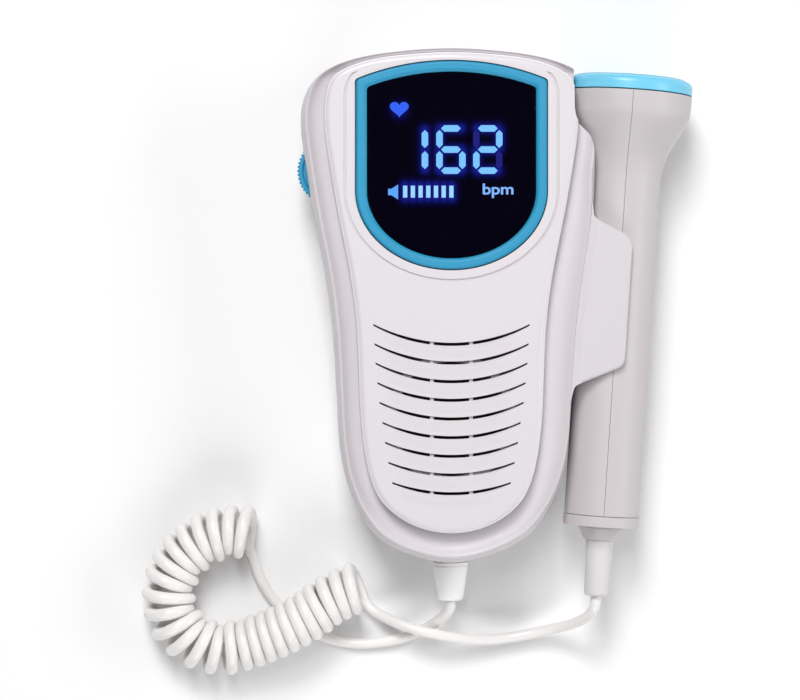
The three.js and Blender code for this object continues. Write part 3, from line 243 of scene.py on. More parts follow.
def sweep(name, path, radius, sides):
    # circles square to the path, turned along it without twist; radius may vary along the path
    path = np.asarray(path, float)
    radius = np.broadcast_to(np.asarray(radius, float), len(path))
    tangent = np.gradient(path, axis=0)
    tangent /= np.linalg.norm(tangent, axis=1, keepdims=True)
    across = np.zeros_like(path)
    side = np.array([0.0, 0.0, 1.0])
    for index, direction in enumerate(tangent):  # one step per ring, not per vertex
        side = side - (side @ direction) * direction
        side /= np.linalg.norm(side)
        across[index] = side
    up = np.cross(tangent, across)
    angle = np.linspace(0, 2 * np.pi, sides, endpoint=False)
    ring = across[:, None] * np.cos(angle)[None, :, None] + up[:, None] * np.sin(angle)[None, :, None]
    return gridSolid(name, path[:, None] + radius[:, None, None] * ring)


def dress(piece, material, body, nodes=(), sharpAngle=32, weighted=True):
    # smooth faces with true edges, a material, a body to ride on and the CAD nodes it stands for
    mesh = piece.data
    mesh.materials.clear()
    mesh.materials.append(material)
    mesh.polygons.foreach_set("material_index", np.zeros(len(mesh.polygons), np.int32))
    mesh.shade_smooth()
    mesh.set_sharp_from_angle(angle=np.radians(sharpAngle))
    if weighted:
        normals = piece.modifiers.new("normals", "WEIGHTED_NORMAL")
        normals.keep_sharp = True
        normals.weight = 80
    if body:
        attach(piece, body)
    if nodes:
        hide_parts(*nodes)
    return piece


# node groups and materials
def feed(tree, socket, value):
    # a socket takes a link from another socket, a value, or a colour given as three numbers
    if isinstance(value, bpy.types.NodeSocket):
        tree.links.new(value, socket)
    else:
        socket.default_value = (*value, 1) if socket.type == "RGBA" else value


def fill(tree, node, settings):
    # sockets and properties of a node by name
    for key, value in settings.items():
        if key in node.inputs:
            feed(tree, node.inputs[key], value)
        else:
            setattr(node, key, value)
    return node


def addNode(tree, kind, **settings):
    named = {key.replace("_", " ") if key[0].isupper() else key: value for key, value in settings.items()}
    return fill(tree, tree.nodes.new("ShaderNode" + kind), named)


def mathNode(tree, operation, *values):
    node = addNode(tree, "Math", operation=operation)
    for socket, value in zip(node.inputs, values):
        feed(tree, socket, value)
    return node.outputs[0]


def mixed(tree, factor, first, second):
    node = addNode(tree, "Mix", data_type="RGBA", Factor=factor)
    for socket, colour in zip(node.inputs[6:8], (first, second)):
        feed(tree, socket, colour)
    return node.outputs[2]


def objectPlace(tree):
    return addNode(tree, "TexCoord").outputs["Object"]


def noise(tree, place, scale, detail, roughness=0.5):
    return addNode(tree, "TexNoise", Vector=place, Scale=scale, Detail=detail, Roughness=roughness).outputs["Fac"]


def cells(tree, place, scale, **settings):
    return addNode(tree, "TexVoronoi", Vector=place, Scale=scale, **settings).outputs["Distance"]


def ranged(tree, value, low, high, toLow=0, toHigh=1):
    return addNode(tree, "MapRange", Value=value, From_Min=low, From_Max=high, To_Min=toLow, To_Max=toHigh).outputs[0]


def bumped(tree, shader, height, strength, distance):
    bump = addNode(tree, "Bump", Strength=strength, Distance=distance * mm, Height=height)
    tree.links.new(bump.outputs["Normal"], shader.inputs["Normal"])


def newGroup(name, inputs, outputs):
    group = bpy.data.node_groups.new(name, "ShaderNodeTree")
    for socketName, value in inputs.items():
        kind = "NodeSocketFloat" if isinstance(value, (int, float)) else "NodeSocketColor"
        socket = group.interface.new_socket(socketName, in_out="INPUT", socket_type=kind)
        socket.default_value = value
    for socketName, kind in outputs.items():
        group.interface.new_socket(socketName, in_out="OUTPUT", socket_type="NodeSocket" + kind)
    return group, group.nodes.new("NodeGroupInput").outputs, group.nodes.new("NodeGroupOutput")


def mouldedGroup():
    # moulded plastic: colour drifts slowly; height is a fine orange peel with spark marks;
    # roughness is the base value plus the slow and the fine noise
    inputs = {
        "Colour": (0.8, 0.8, 0.8, 1), "Shade": (0.7, 0.7, 0.7, 1), "Drift": 0.3, "Roughness": 0.4, "Grain Scale": 2600,
    }
    outputs = {"Colour": "Color", "Roughness": "Float", "Height": "Float"}
    group, given, made = newGroup("mouldedPlastic", inputs, outputs)
    place = objectPlace(group)
    slow = noise(group, place, 28, 3, 0.55)
    fine = noise(group, place, given["Grain Scale"], 2, 0.6)
    peel = noise(group, place, 520, 1)
    amount = mathNode(group, "MULTIPLY", slow, given["Drift"])
    spread = mathNode(group, "MULTIPLY_ADD", slow, 0.10, given["Roughness"])
    spread = mathNode(group, "MULTIPLY_ADD", fine, 0.06, spread)
    fill(group, made, {
        "Colour": mixed(group, amount, given["Colour"], given["Shade"]),
        "Roughness": mathNode(group, "SUBTRACT", spread, 0.08),
        "Height": mathNode(group, "MULTIPLY_ADD", fine, 0.55, mathNode(group, "MULTIPLY", peel, 0.45)),
    })
    return group


def handlingGroup():
    # dust and handling: colour goes towards the dust's where mask = amount * the larger of broad soft patches
    # and fine specks
    inputs = {"Colour": (0.8, 0.8, 0.8, 1), "Dust": (0.62, 0.6, 0.58, 1), "Amount": 0.1}
    group, given, made = newGroup("handlingMarks", inputs, {"Colour": "Color", "Mask": "Float"})
    place = objectPlace(group)
    patches = ranged(group, noise(group, place, 60, 4, 0.7), 0.5, 0.8)
    specks = ranged(group, cells(group, place, 900), 0.32, 0.1)
    marks = mathNode(group, "MAXIMUM", patches, mathNode(group, "MULTIPLY", specks, 0.35))
    mask = mathNode(group, "MULTIPLY", marks, given["Amount"])
    fill(group, made, {"Colour": mixed(group, mask, given["Colour"], given["Dust"]), "Mask": mask})
    return group


mouldedPlastic = mouldedGroup()
handlingMarks = handlingGroup()


def plainMaterial(name, **settings):
    material = bpy.data.materials.new(name)
    material.use_nodes = True
    tree = material.node_tree
    shader = tree.nodes["Principled BSDF"]
    fill(tree, shader, {key.replace("_", " "): value for key, value in settings.items()})
    return material, tree, shader


def plasticMaterial(
    name, colour, shade, roughness, coat=0, bump=0.12, grain=2600, dust=0.06, dustColour=(0.6, 0.58, 0.56)
):
    # moulded plastic with handling marks; bump height comes from the shared grain
    material, tree, shader = plainMaterial(name, Coat_Weight=coat)
    moulded = addNode(tree, "Group", node_tree=mouldedPlastic)
    fill(tree, moulded, {"Colour": colour, "Shade": shade, "Roughness": roughness, "Grain Scale": grain})
    marks = addNode(tree, "Group", node_tree=handlingMarks)
    fill(tree, marks, {"Amount": dust, "Dust": dustColour, "Colour": moulded.outputs["Colour"]})
    fill(tree, shader, {"Base Color": marks.outputs["Colour"], "Roughness": moulded.outputs["Roughness"]})
    bumped(tree, shader, moulded.outputs["Height"], bump, 0.06)
    return material


def brushedMaterial(name, colour, roughness, scale, dark=0.5):
    # drawn metal: long streaks from noise squeezed along one axis drive colour, roughness and bump
    material, tree, shader = plainMaterial(name, Metallic=1.0)
    squeezed = addNode(tree, "Mapping", Scale=scale, Vector=objectPlace(tree)).outputs[0]
    streaks = noise(tree, squeezed, 1, 4)
    fill(tree, shader, {
        "Base Color": mixed(tree, streaks, tuple(value * dark for value in colour), colour),
        "Roughness": mathNode(tree, "MULTIPLY_ADD", streaks, 0.25, roughness),
    })
    bumped(tree, shader, streaks, 0.15, 0.03)
    return material


def paintedRimHighlight(material, colour):
    # painted highlight: the base colour turns to a paler one where the piece's "rim" attribute rises to 1, standing in
    # for light caught by a rounded edge
    tree = material.node_tree
    target = tree.nodes["Principled BSDF"].inputs["Base Color"]
    rim = addNode(tree, "Attribute", attribute_name="rim").outputs["Fac"]
    tree.links.new(mixed(tree, rim, target.links[0].from_socket, colour), target)


cyanDust = {"dust": 0.03, "dustColour": (0.4, 0.6, 0.7)}
finishTable = {
    # colour, shade and roughness, then what differs from the usual
    "housing plastic": ((0.605, 0.57, 0.60), (0.575, 0.54, 0.565), 0.5, {"coat": 0.1}),
    "face plastic": ((0.665, 0.63, 0.66), (0.635, 0.60, 0.625), 0.42, {"coat": 0.25}),
    "probe plastic": ((0.545, 0.51, 0.52), (0.515, 0.48, 0.49), 0.46, {}),
    "turquoise plastic": ((0.008, 0.275, 0.48), (0.006, 0.25, 0.45), 0.5, cyanDust),
    "cap plastic": ((0.17, 0.58, 0.80), (0.14, 0.54, 0.76), 0.34, cyanDust),
    # one rubber in two copies: the strain relief's is darkened as painted shade, the gland's is near white as painted
    # light against the housing's shadow
    "relief rubber painted shade": ((0.64, 0.625, 0.625), (0.60, 0.585, 0.585), 0.5, {"bump": 0.2, "grain": 1900}),
    "gland rubber painted light": ((0.95, 0.94, 0.95), (0.91, 0.90, 0.91), 0.45, {"bump": 0.2, "grain": 1900}),
    "cord vinyl": ((0.82, 0.80, 0.79), (0.77, 0.745, 0.73), 0.30, {"coat": 0.15, "bump": 0.1, "dust": 0.04}),
    "black plastic": ((0.02, 0.02, 0.024), (0.035, 0.035, 0.04), 0.5, {"bump": 0.3}),
    "foam": ((0.03, 0.03, 0.032), (0.06, 0.06, 0.062), 0.9, {"bump": 0.9, "grain": 900}),
    "cone paper": ((0.05, 0.05, 0.052), (0.09, 0.088, 0.085), 0.85, {"bump": 0.7, "grain": 1300}),
    "ceramic": ((0.70, 0.62, 0.44), (0.62, 0.54, 0.37), 0.45, {"bump": 0.25}),
    "ferrite": ((0.06, 0.06, 0.065), (0.11, 0.11, 0.115), 0.55, {"bump": 0.5, "grain": 1500}),
}
finishes = {
    name: plasticMaterial(name, colour, shade, roughness, **more)
    for name, (colour, shade, roughness, more) in finishTable.items()
}
# painted highlight: a near-white line along the face panel's rounded edge
paintedRimHighlight(finishes["face plastic"], (0.95, 0.94, 0.95))
finishes["pressed steel"] = brushedMaterial("pressed steel", (0.62, 0.63, 0.65), 0.22, (60, 60, 2400))
finishes["plated contact"] = brushedMaterial("plated contact", (0.78, 0.77, 0.72), 0.14, (2400, 60, 60), 0.8)
print("materials made")

# sizes shared by several pieces
gap = 0.3  # between parts that lie side by side
housingTable = {
    "length": 138, "halfWidth": 39.7, "endY": -69.69, "parting": 15, "wall": 2.4, "thinWall": 1.8,
    "panelLength": 128.3, "panelHalfWidth": 33.8, "panelEndY": -61.19, "above": 40,
}
wall, parting, endY = housingTable["wall"], housingTable["parting"], housingTable["endY"]
glandTable = {"z": 10.5, "length": 10.5, "neck": 4.1, "flange": 6.5}
probeTable = {
    "foot": (40.5, -60.9, 17.3), "holder": (41.2, -60.9, 17.3), "tilt": 3.744, "shellFoot": 1.2,
    "ringStart": 1.1, "ringLength": 2.9, "ringRadius": 10.25, "ringSeat": 8.8,
    "handle": 10.0, "handleFoot": 10.1, "head": 17.0, "neckStart": 88.8, "headStart": 113.3, "headEnd": 117.9,
    "capThickness": 4.2, "wall": 1.6, "collar": 3.5, "sleeve": 15.2,
    # the neck's swell: shares of its length and of the step from handle to head
    "neck": [(0, 0), (0.2, 0.005), (0.34, 0.045), (0.5, 0.18), (0.68, 0.48), (0.83, 0.78), (0.94, 0.95), (1, 0.98)],
}
tilt = np.radians(probeTable["tilt"])
probeAxes = np.array([[np.cos(tilt), np.sin(tilt), 0], [-np.sin(tilt), np.cos(tilt), 0], [0, 0, 1]])
probeFrame, holderFrame = frameAt(probeTable["foot"], probeAxes), frameAt(probeTable["holder"], probeAxes)
probeAxis = probeFrame[:3, 1]


def onProbe(along):
    return placed(np.array([[0, along, 0]], float), probeFrame)[0]


# the cord: lead, coil and lead in one run
cordTable = {
    "diameter": 2.9, "thin": 2.72, "thick": 3.42, "squeeze": 0.04, "sides": 20, "stepsPerTurn": 40, "buried": 1.6,
    "curlRadius": 5.6, "nest": 0.57, "nestAlong": (-2, -1, 58.8, 66), "coilStart": (-54.85, -62.15), "coilHeading": 169,
    # length, turn in degrees, and spacing of the curls on the inner side of the bend
    "arcs": [(27.2, 83, 2.63), (31.6, 124, 2.63), (25.5, 19.5, 3.0), (11.7, -18.5, 3.0)],
    "crossingLift": 3.4, "crossingReach": 13, "crossingAlong": 76.5,
    "bodyLead": [
        (-0.9, -84, 9.4), (-2.9, -86, 7.6), (-5.6, -88, 5.5), (-8.9, -89.8, 3.5), (-13.7, -91.7, 2.1),
        (-19.2, -92.7, 1.6), (-24.7, -93.1, 1.55), (-30.2, -92.5, 1.55), (-35.1, -91, 1.55), (-39.3, -88.8, 1.55),
        (-43.1, -86.1, 1.55), (-47, -82.6, 1.55), (-50.1, -78.6, 1.55), (-52.5, -74.2, 1.55), (-54.1, -69.5, 1.55),
    ],
    "probeLead": [
        (-21.6, -83.4, 2.3), (-17, -86, 4.6), (-13.4, -87.4, 6.8), (-8.8, -88.8, 8.3), (-4.9, -89.7, 8.6),
        (-1, -90.5, 8), (8.2, -91.8, 5.2), (16, -91.3, 3.9), (22.5, -90.1, 3.9), (28, -88.7, 5.5),
        (32.3, -87.4, 8.3), (35.4, -85.9, 11.6), (37.6, -84.2, 14.4), (38.8, -82.3, 16.5),
    ],
}


def summed(values, start=0):
    return start + np.concatenate([[0], np.cumsum(values)])


def coilPath(table):
    # heading grows evenly along each arc; the curl's phase advances by one turn per pitch, where
    # pitch = spacing / (1 - curl radius * bend); the cord runs round the middle line at the curl radius,
    # and where the bend crowds the curls, every second one sits a little further in; the soft cord fills the room
    # between its neighbours: thickness = pitch * (1 + curl radius * bend * sin(phase)), kept between thin and thick
    radius = table["curlRadius"]
    lengths, degrees, spacings = np.array(table["arcs"]).T
    bends, edges = np.radians(degrees) / lengths, summed(lengths)
    along = np.linspace(0, edges[-1], 6001)
    middle, step = (along[1:] + along[:-1]) / 2, np.diff(along)
    which = np.clip(np.searchsorted(edges, middle) - 1, 0, len(lengths) - 1)
    heading = summed(bends[which] * step, np.radians(table["coilHeading"]))
    halfway = (heading[1:] + heading[:-1]) / 2
    x, y = (summed(part(halfway) * step, start) for part, start in zip((np.cos, np.sin), table["coilStart"]))
    pitch = spacings / (1 - radius * np.abs(bends))
    turns = summed(step / pitch[which])
    whole = round(turns[-1])
    turns *= whole / turns[-1]
    wanted = np.linspace(0, whole, whole * table["stepsPerTurn"] + 1)
    px, py, ph, pa = (np.interp(wanted, turns, values) for values in (x, y, heading, along))
    phase = 2 * np.pi * wanted
    rise = table["crossingLift"] * np.exp(-(((pa - table["crossingAlong"]) / table["crossingReach"]) ** 2))
    z = table["thick"] / 2 + radius + rise - radius * np.cos(phase)
    crowded = np.interp(pa, table["nestAlong"], (0, 1, 1, 0))
    sideways = (radius + table["nest"] * crowded * np.cos((phase - 1.5 * np.pi) / 2)) * np.sin(phase)
    points = np.column_stack([px + sideways * np.sin(ph), py - sideways * np.cos(ph), z])
    forward, first = pitch[[0, -1]] / (2 * np.pi * radius), ph[[0, -1]]
    ends = np.stack([np.sin(first) + forward * np.cos(first), -np.cos(first) + forward * np.sin(first), [0, 0]], axis=1)
    bend, spacing = np.interp(pa, middle, bends[which]), np.interp(pa, middle, pitch[which])
    thick = spacing * (1 + radius * bend * np.sin(phase)) - table["squeeze"]
    ends /= np.linalg.norm(ends, axis=1, keepdims=True)
    return points, np.clip(thick, table["thin"], table["thick"]) / 2, ends


coil, coilThick, coilEnds = coilPath(cordTable)
diameter, straight, buried = cordTable["diameter"], cordTable["diameter"] / 2, cordTable["buried"]
coilStart, coilFinish = coil[0] - coilEnds[0] * diameter, coil[-1] + coilEnds[1] * diameter
glandTip = np.array([0, endY - gap - glandTable["length"] - gap, glandTable["z"]])
reliefTipAlong = probeTable["shellFoot"] - gap - probeTable["collar"] - probeTable["sleeve"] - gap
reliefTip = onProbe(reliefTipAlong)
firstLead = catmullRom([
    glandTip + (0, buried, 0), glandTip, glandTip - (0, straight, 0), *cordTable["bodyLead"],
    coilStart - coilEnds[0] * straight, coilStart,
], 10)
lastLead = catmullRom([
    coilFinish, coilFinish + coilEnds[1] * straight, *cordTable["probeLead"],
    reliefTip - probeAxis * straight, reliefTip, reliefTip + probeAxis * buried,
], 10)
cordPath = np.vstack([firstLead[:-1], coilStart[None], coil, coilFinish[None], lastLead[1:]])
thickness = np.concatenate([np.full(len(firstLead), straight), coilThick, np.full(len(lastLead), straight)])
keep = np.concatenate([[True], np.linalg.norm(np.diff(cordPath, axis=0), axis=1) > 0.05])
cordPath, thickness = cordPath[keep], thickness[keep]
span = 11  # points over which the thickness is evened out
cordRadius = np.convolve(np.pad(thickness, span // 2, mode="edge"), np.full(span, 1 / span), mode="valid")
cord = sweep("cord", cordPath, cordRadius, cordTable["sides"])
dress(cord, finishes["cord vinyl"], "housing", ["cord_body_lead", "curly_cord", "cord_probe_lead"], 60, False)

# the last straight stretch into the probe's strain relief, a separate piece along the probe's axis
tailStart = reliefTipAlong - straight
tailAlong = [*np.linspace(tailStart, reliefTipAlong, 40), reliefTipAlong + 1, reliefTipAlong + 2]
tail = np.array([onProbe(along) for along in tailAlong])
cordTail = sweep("cord_tail", tail, straight - 0.05, cordTable["sides"])
dress(cordTail, finishes["cord vinyl"], None, (), 60, False)
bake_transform(cordTail)

# outlines of the housing: shares of the half width and of the length, from the cord's end
bodyShares = [
    (0, 0), (0.322, 0.021), (0.481, 0.046), (0.63, 0.104), (0.731, 0.186), (0.773, 0.309), (0.801, 0.44),
    (0.854, 0.563), (0.932, 0.679), (0.995, 0.795), (1, 0.904), (0.925, 0.942), (0.713, 0.975), (0.353, 0.994), (0, 1),
]
panelShares = [
    (0, 0), (0.28, 0.014), (0.42, 0.034), (0.562, 0.07), (0.669, 0.142), (0.725, 0.267), (0.746, 0.407),
    (0.799, 0.532), (0.885, 0.648), (0.973, 0.781), (1, 0.898), (0.941, 0.946), (0.784, 0.973), (0.402, 0.994), (0, 1),
]


def outlineFrom(shares, halfWidth, startY, length):
    # x = share * half width, y = start + share * length, mirrored and joined by the closed spline
    right = np.array(shares) * (halfWidth, length) + (0, startY)
    return closedSpline(np.vstack([right, right[1:-1][::-1] * (-1, 1)]), 26)


bodyRing = outlineFrom(bodyShares, housingTable["halfWidth"], endY, housingTable["length"])
panelRing = outlineFrom(panelShares, *(housingTable[key] for key in ("panelHalfWidth", "panelEndY", "panelLength")))
coarseBody, coarsePanel = bodyRing[::4], panelRing[::4]

# on the holder's side the skirt reaches further out: swell of the outline and extra reach of the ridge, by Y
ridgeTable = {"share": 0.29, "fadedShare": 0.94, "sideX": 14, "sideWidth": 8, "reach": 1.2, "lift": 0.55}
swellLine = catmullRom([
    (-68, 0), (-61, 0.8), (-53, 1.35), (-43, 1.5), (-22, 1.5), (-8, 1.7), (6, 1.7), (20, 1.2), (28, 0.9), (36, 0.3),
    (44, 0), (75, 0),
], 12)
reachLine = catmullRom([
    (-66, 0), (-56, 0), (-46, 0.7), (-36, 1.15), (0, 1.2), (22, 1.1), (33, 0), (40, 0), (75, 0),
], 12)


def besideHolder(ring):
    # 0 in the middle and on the wheel's side, easing to 1 on the holder's side
    return smoothStep((ring[:, 0] - ridgeTable["sideX"]) / ridgeTable["sideWidth"])


def ridgeShape(share):
    # rise up to the ridge, and fade behind it
    ridge = ridgeTable["share"]
    return min(share / ridge, 1), 1 - smoothStep((share - ridge) / (ridgeTable["fadedShare"] - ridge))


def between(share):
    # outline at a share of the way from the body's edge to the face's edge, with the holder's side pushed out:
    # swell * (1 up to the ridge, then fading) + reach * (rising to the ridge, then fading)
    ring = bodyRing + (panelRing - bodyRing) * share
    rise, fade = ridgeShape(share)
    push = np.interp(ring[:, 1], *swellLine.T) * fade + np.interp(ring[:, 1], *reachLine.T) * (rise * fade)
    return ring + np.column_stack([push * besideHolder(ring), np.zeros(len(ring))])


def ridgeLift(share):
    # the ridge stands higher beside the holder's flap: lift * reach * rise squared * fade
    most = ridgeTable["reach"]
    side = besideHolder(bodyRing) * np.clip(np.interp(bodyRing[:, 1], *reachLine.T), 0, most) / most
    rise, fade = ridgeShape(share)
    return ridgeTable["lift"] * side * rise**2 * fade


def probeNeck(grow, perSpan=8):
    # radius = handle + share * (head - handle) + grow, from the neck's start to the head's end
    handle, head = probeTable["handle"], probeTable["head"]
    start, end = probeTable["neckStart"], probeTable["headStart"]
    shares = np.array(probeTable["neck"])
    radius = handle + shares[:, 1] * (head - handle) + grow
    curve = catmullRom(np.column_stack([radius, start + shares[:, 0] * (end - start)]), perSpan)
    return np.vstack([curve, [head + grow, end + 2.5], [head + grow, probeTable["headEnd"]]])


spaceTable = {"head": 0.6, "cupDepth": 5, "reach": 138, "end": 143}


def probeSpace(grow, sides=128):
    # the space that the probe fills: a bore for the handle, opened into a cup for the head
    table, bore = spaceTable, probeTable["ringRadius"] + gap + grow
    cup = probeNeck(table["head"] + grow)
    cup = cup[cup[:, 0] > bore]
    widest = probeTable["head"] + table["head"] + grow
    return turned("space", np.vstack([
        [0, -table["reach"]], [bore, -table["reach"]], [bore, cup[0, 1] - table["cupDepth"]], cup,
        [widest, table["end"]], [0, table["end"]],
    ]), sides, probeFrame)


# edge of the opening over the probe, from the head's side down to the flap
notchTable = {"low": 17.8, "high": 39, "farX": 75, "flapY": 26.6, "endY": 80, "clearance": 0.15}
notchLine = catmullRom([
    (32.8, 80), (32.8, 66), (32.8, 57), (32.85, 52.3), (33.2, 50), (34.1, 48.3), (35.6, 46.7), (37.1, 45), (38, 42.5),
    (38.4, 39), (38.5, 34.5), (38.45, 30.5), (38.3, 26.6),
], 8)


def notchCut(grow):
    # what lies beyond the edge, which is first moved inwards by grow
    table = notchTable
    corners = [(table["farX"], table["flapY"]), (table["farX"], table["endY"])]
    return prism("notch", np.vstack([notchLine - (grow, 0), corners])[::-1], table["low"], table["high"])


def flapRing(deep):
    # the holder's flap seen from above; the deep one reaches in under the skirt
    outer = [(2.15, 44.6, 3.5), (2.15, 78.9, 5)]
    corners = [(-14.6, 37.8, 0), (-12.1, 38.1, 0), *outer, (-9.1, 84, 0), (-11.6, 84.3, 0)]
    if deep:
        inner = [(-8.7, 83.7, 1.6), (-9.2, 87.2, 0), (-21, 87.2, 0)]
        corners = [(-21, 33.4, 0), (-11.8, 33.4, 0), (-10.9, 38.4, 2.2), *outer, *inner]
    return densely(placed(lifted(rounded(corners, 10, True), 0), holderFrame)[:, :2], 0.5)


def roundedFlap(insideZ, outsideZ, radius, deep):
    # the flap's plate, its outer edge rolled over by a quarter circle
    ring = flapRing(deep)
    sign = 1 if outsideZ > insideZ else -1
    angle = np.linspace(0, np.pi / 2, 7)
    rings = [ring, *[inset(ring, radius * (1 - np.cos(a))) for a in angle]]
    heights = [insideZ, *[outsideZ - sign * radius * (1 - np.sin(a)) for a in angle]]
    return stack("flap", rings[::sign], heights[::sign])


screwTable = {
    "places": [(-17.5, -54.61), (17.5, -54.61), (-26.8, 54.8), (23.4, 54.8)],
    "shank": 1.7, "head": 3.1, "tip": 22.3, "post": 3.4, "postTop": 26.8, "boss": 4.1, "seat": 6.3, "shankTop": 20,
}
screwPlaces = screwTable["places"]
wheelTable = {
    "centre": (-32.25, 36.1), "z": 15.15, "radius": 9.2, "thickness": 5, "teeth": 52, "toothDepth": 0.5,
    "bore": 1.9, "clearance": 0.6, "scoopRadius": 14, "scoopDepth": 1.2, "dish": 0.5,
}
glandFrame = frameAt((0, 0, glandTable["z"]))


def glandDrum(radius, low, high):
    return drum("gland", radius, low, high, 64, glandFrame)


def sharedCuts():
    # the probe's space, the wheel's slot and scoop, and the gland's neck and flange
    table, centre, z = wheelTable, wheelTable["centre"], wheelTable["z"]
    half, deep = table["thickness"] / 2 + table["clearance"], table["scoopRadius"]
    angle = np.linspace(0, np.pi, 49)
    ball = frameAt((-housingTable["halfWidth"] - deep + table["scoopDepth"], centre[1], z))
    return [
        probeSpace(0), rod("slot", table["radius"] + table["clearance"], centre, z - half, z + half, 96),
        turned("scoop", np.column_stack([deep * np.sin(angle), -deep * np.cos(angle)]), 96, ball),
        glandDrum(glandTable["neck"], -76, -62), glandDrum(glandTable["flange"], endY + wall, endY + wall + 2.2),
    ]


# front shell
frontTable = {
    # share of the way from the body's outline to the face's outline, and height
    "profile": [
        (0.004, 15.3), (0.0, 15.55), (0.012, 19), (0.03, 22), (0.068, 24.9), (0.12, 27), (0.185, 28.7), (0.245, 29.75),
        (0.29, 29.95), (0.36, 29.7), (0.48, 29.05), (0.62, 28.55), (0.78, 28.3), (0.94, 28.2),
    ],
    "crest": 29.9, "flapTop": 29.6, "skirtTop": 28.2, "ceiling": 25, "ledge": 1.8, "ledgeWidth": 3, "flapEdge": 0.9,
    "coveReach": 2.6, "coveRise": 0.72, "coveY": 27, "narrow": 4,
}


def ridgeCove():
    # a soft hollow between the ridge and the flap: height = rise * (1 - sin(quarter turn * distance / reach))
    table = frontTable
    line = between(0.24)
    line = line[(line[:, 0] > 20) & (np.abs(line[:, 1]) < table["coveY"])][::2]
    across = np.linspace(0, 1, 12)
    flat = line[:, None] + np.array([0.9978, -0.0653]) * (across * table["coveReach"])[None, :, None]
    top = table["flapTop"] - 0.02 + table["coveRise"] * (1 - np.sin(np.pi / 2 * across))
    upper = np.dstack([flat, np.broadcast_to(top, flat.shape[:2])])
    lower = np.dstack([flat[:, ::-1], np.full(flat.shape[:2], table["flapTop"] - 0.7)])
    return gridSolid("cove", np.concatenate([upper, lower], axis=1))


def frontShell():
    # each ring is the outline at a share of the way to the face; its height = profile, drawn up to the crest behind
    # the ridge by the shallow share, + ridge lift. The flap is joined on, then hollow, posts and openings are made
    table, low, above = frontTable, parting + gap, housingTable["above"]
    # the narrower the skirt, the shallower its valley
    shallow = 1 - np.clip(np.linalg.norm(panelRing - bodyRing, axis=1) / table["narrow"], 0.12, 1)
    rings = []
    for share, z in catmullRom(table["profile"], 4):
        level = z + (table["crest"] - z) * shallow * (share > ridgeTable["share"])
        rings.append(np.column_stack([between(share), level + ridgeLift(share)]))
    outer = gridSolid("front_shell_surface", np.stack([*rings, lifted(between(0.955), table["skirtTop"])]))
    flap, cove = roundedFlap(low, table["flapTop"], table["flapEdge"], True), ridgeCove()
    combine(flap, [prism("inward", between(0.27), low - 1, above)])
    combine(cove, [prism("flapField", flapRing(True), low, above)], "INTERSECT")
    combine(outer, [flap, cove], "UNION")
    inside, mouth = inset(coarseBody, wall), inset(coarsePanel, table["ledgeWidth"])
    levels = [low - 5, table["ceiling"], table["skirtTop"] - table["ledge"], 34]
    hollow = stack("hollow", [inside, inside, mouth, mouth], levels)
    combine(hollow, [probeSpace(housingTable["thinWall"], 64), notchCut(housingTable["thinWall"])])
    combine(outer, [hollow])
    post, top, side = screwTable["post"], screwTable["postTop"], housingTable["halfWidth"]
    added = [rod("post", post, place, low, top, 32) for place in screwPlaces]
    for x, y in screwPlaces:
        left, right = sorted((x, np.sign(x) * side))
        added.append(box("shelf", (left, y - post, table["ceiling"]), (right, y + post, top)))
    room = prism("room", inset(coarseBody, wall / 2), low, table["skirtTop"])
    for solid in added:
        combine(solid, [room], "INTERSECT", keep=True)
    bpy.data.objects.remove(room)
    combine(outer, added, "UNION")
    holes = [rod("hole", screwTable["shank"], place, 0, screwTable["tip"], 24) for place in screwPlaces]
    combine(outer, [*holes, *sharedCuts(), notchCut(notchTable["clearance"])])
    return outer


dress(frontShell(), finishes["housing plastic"], "housing", ["front_shell"])
print("front shell made")

# rear shell with its bay, bosses and posts
bayTable = {
    "halfWidth": 15.2, "low": -41.0, "high": 14.2, "sill": 3.4, "roof": 1.2, "ceiling": 18.6, "doorLip": 2.1,
    "tabX": 10, "tabHalf": 2.3, "tabDepth": 2.8, "supportTop": 19.1, "support": 2.2, "posts": [(-20, 44), (20, 44)],
    "pegs": [(-12, 2), (12, 2)], "edge": 5, "edgeHeight": 7, "flapBottom": 5.6, "flapEdge": 0.8,
    "floorInset": 3.2, "floorTop": 2, "corner": 3, "rimBevel": 0.25, "glandRing": 8.3, "glandRingY": (1.2, 4.3),
}


def doorRing(half, low, high):
    corners = [(-half, low), (half, low), (half, high), (-half, high)]
    return rounded([(*corner, bayTable["corner"]) for corner in corners], 10, True)


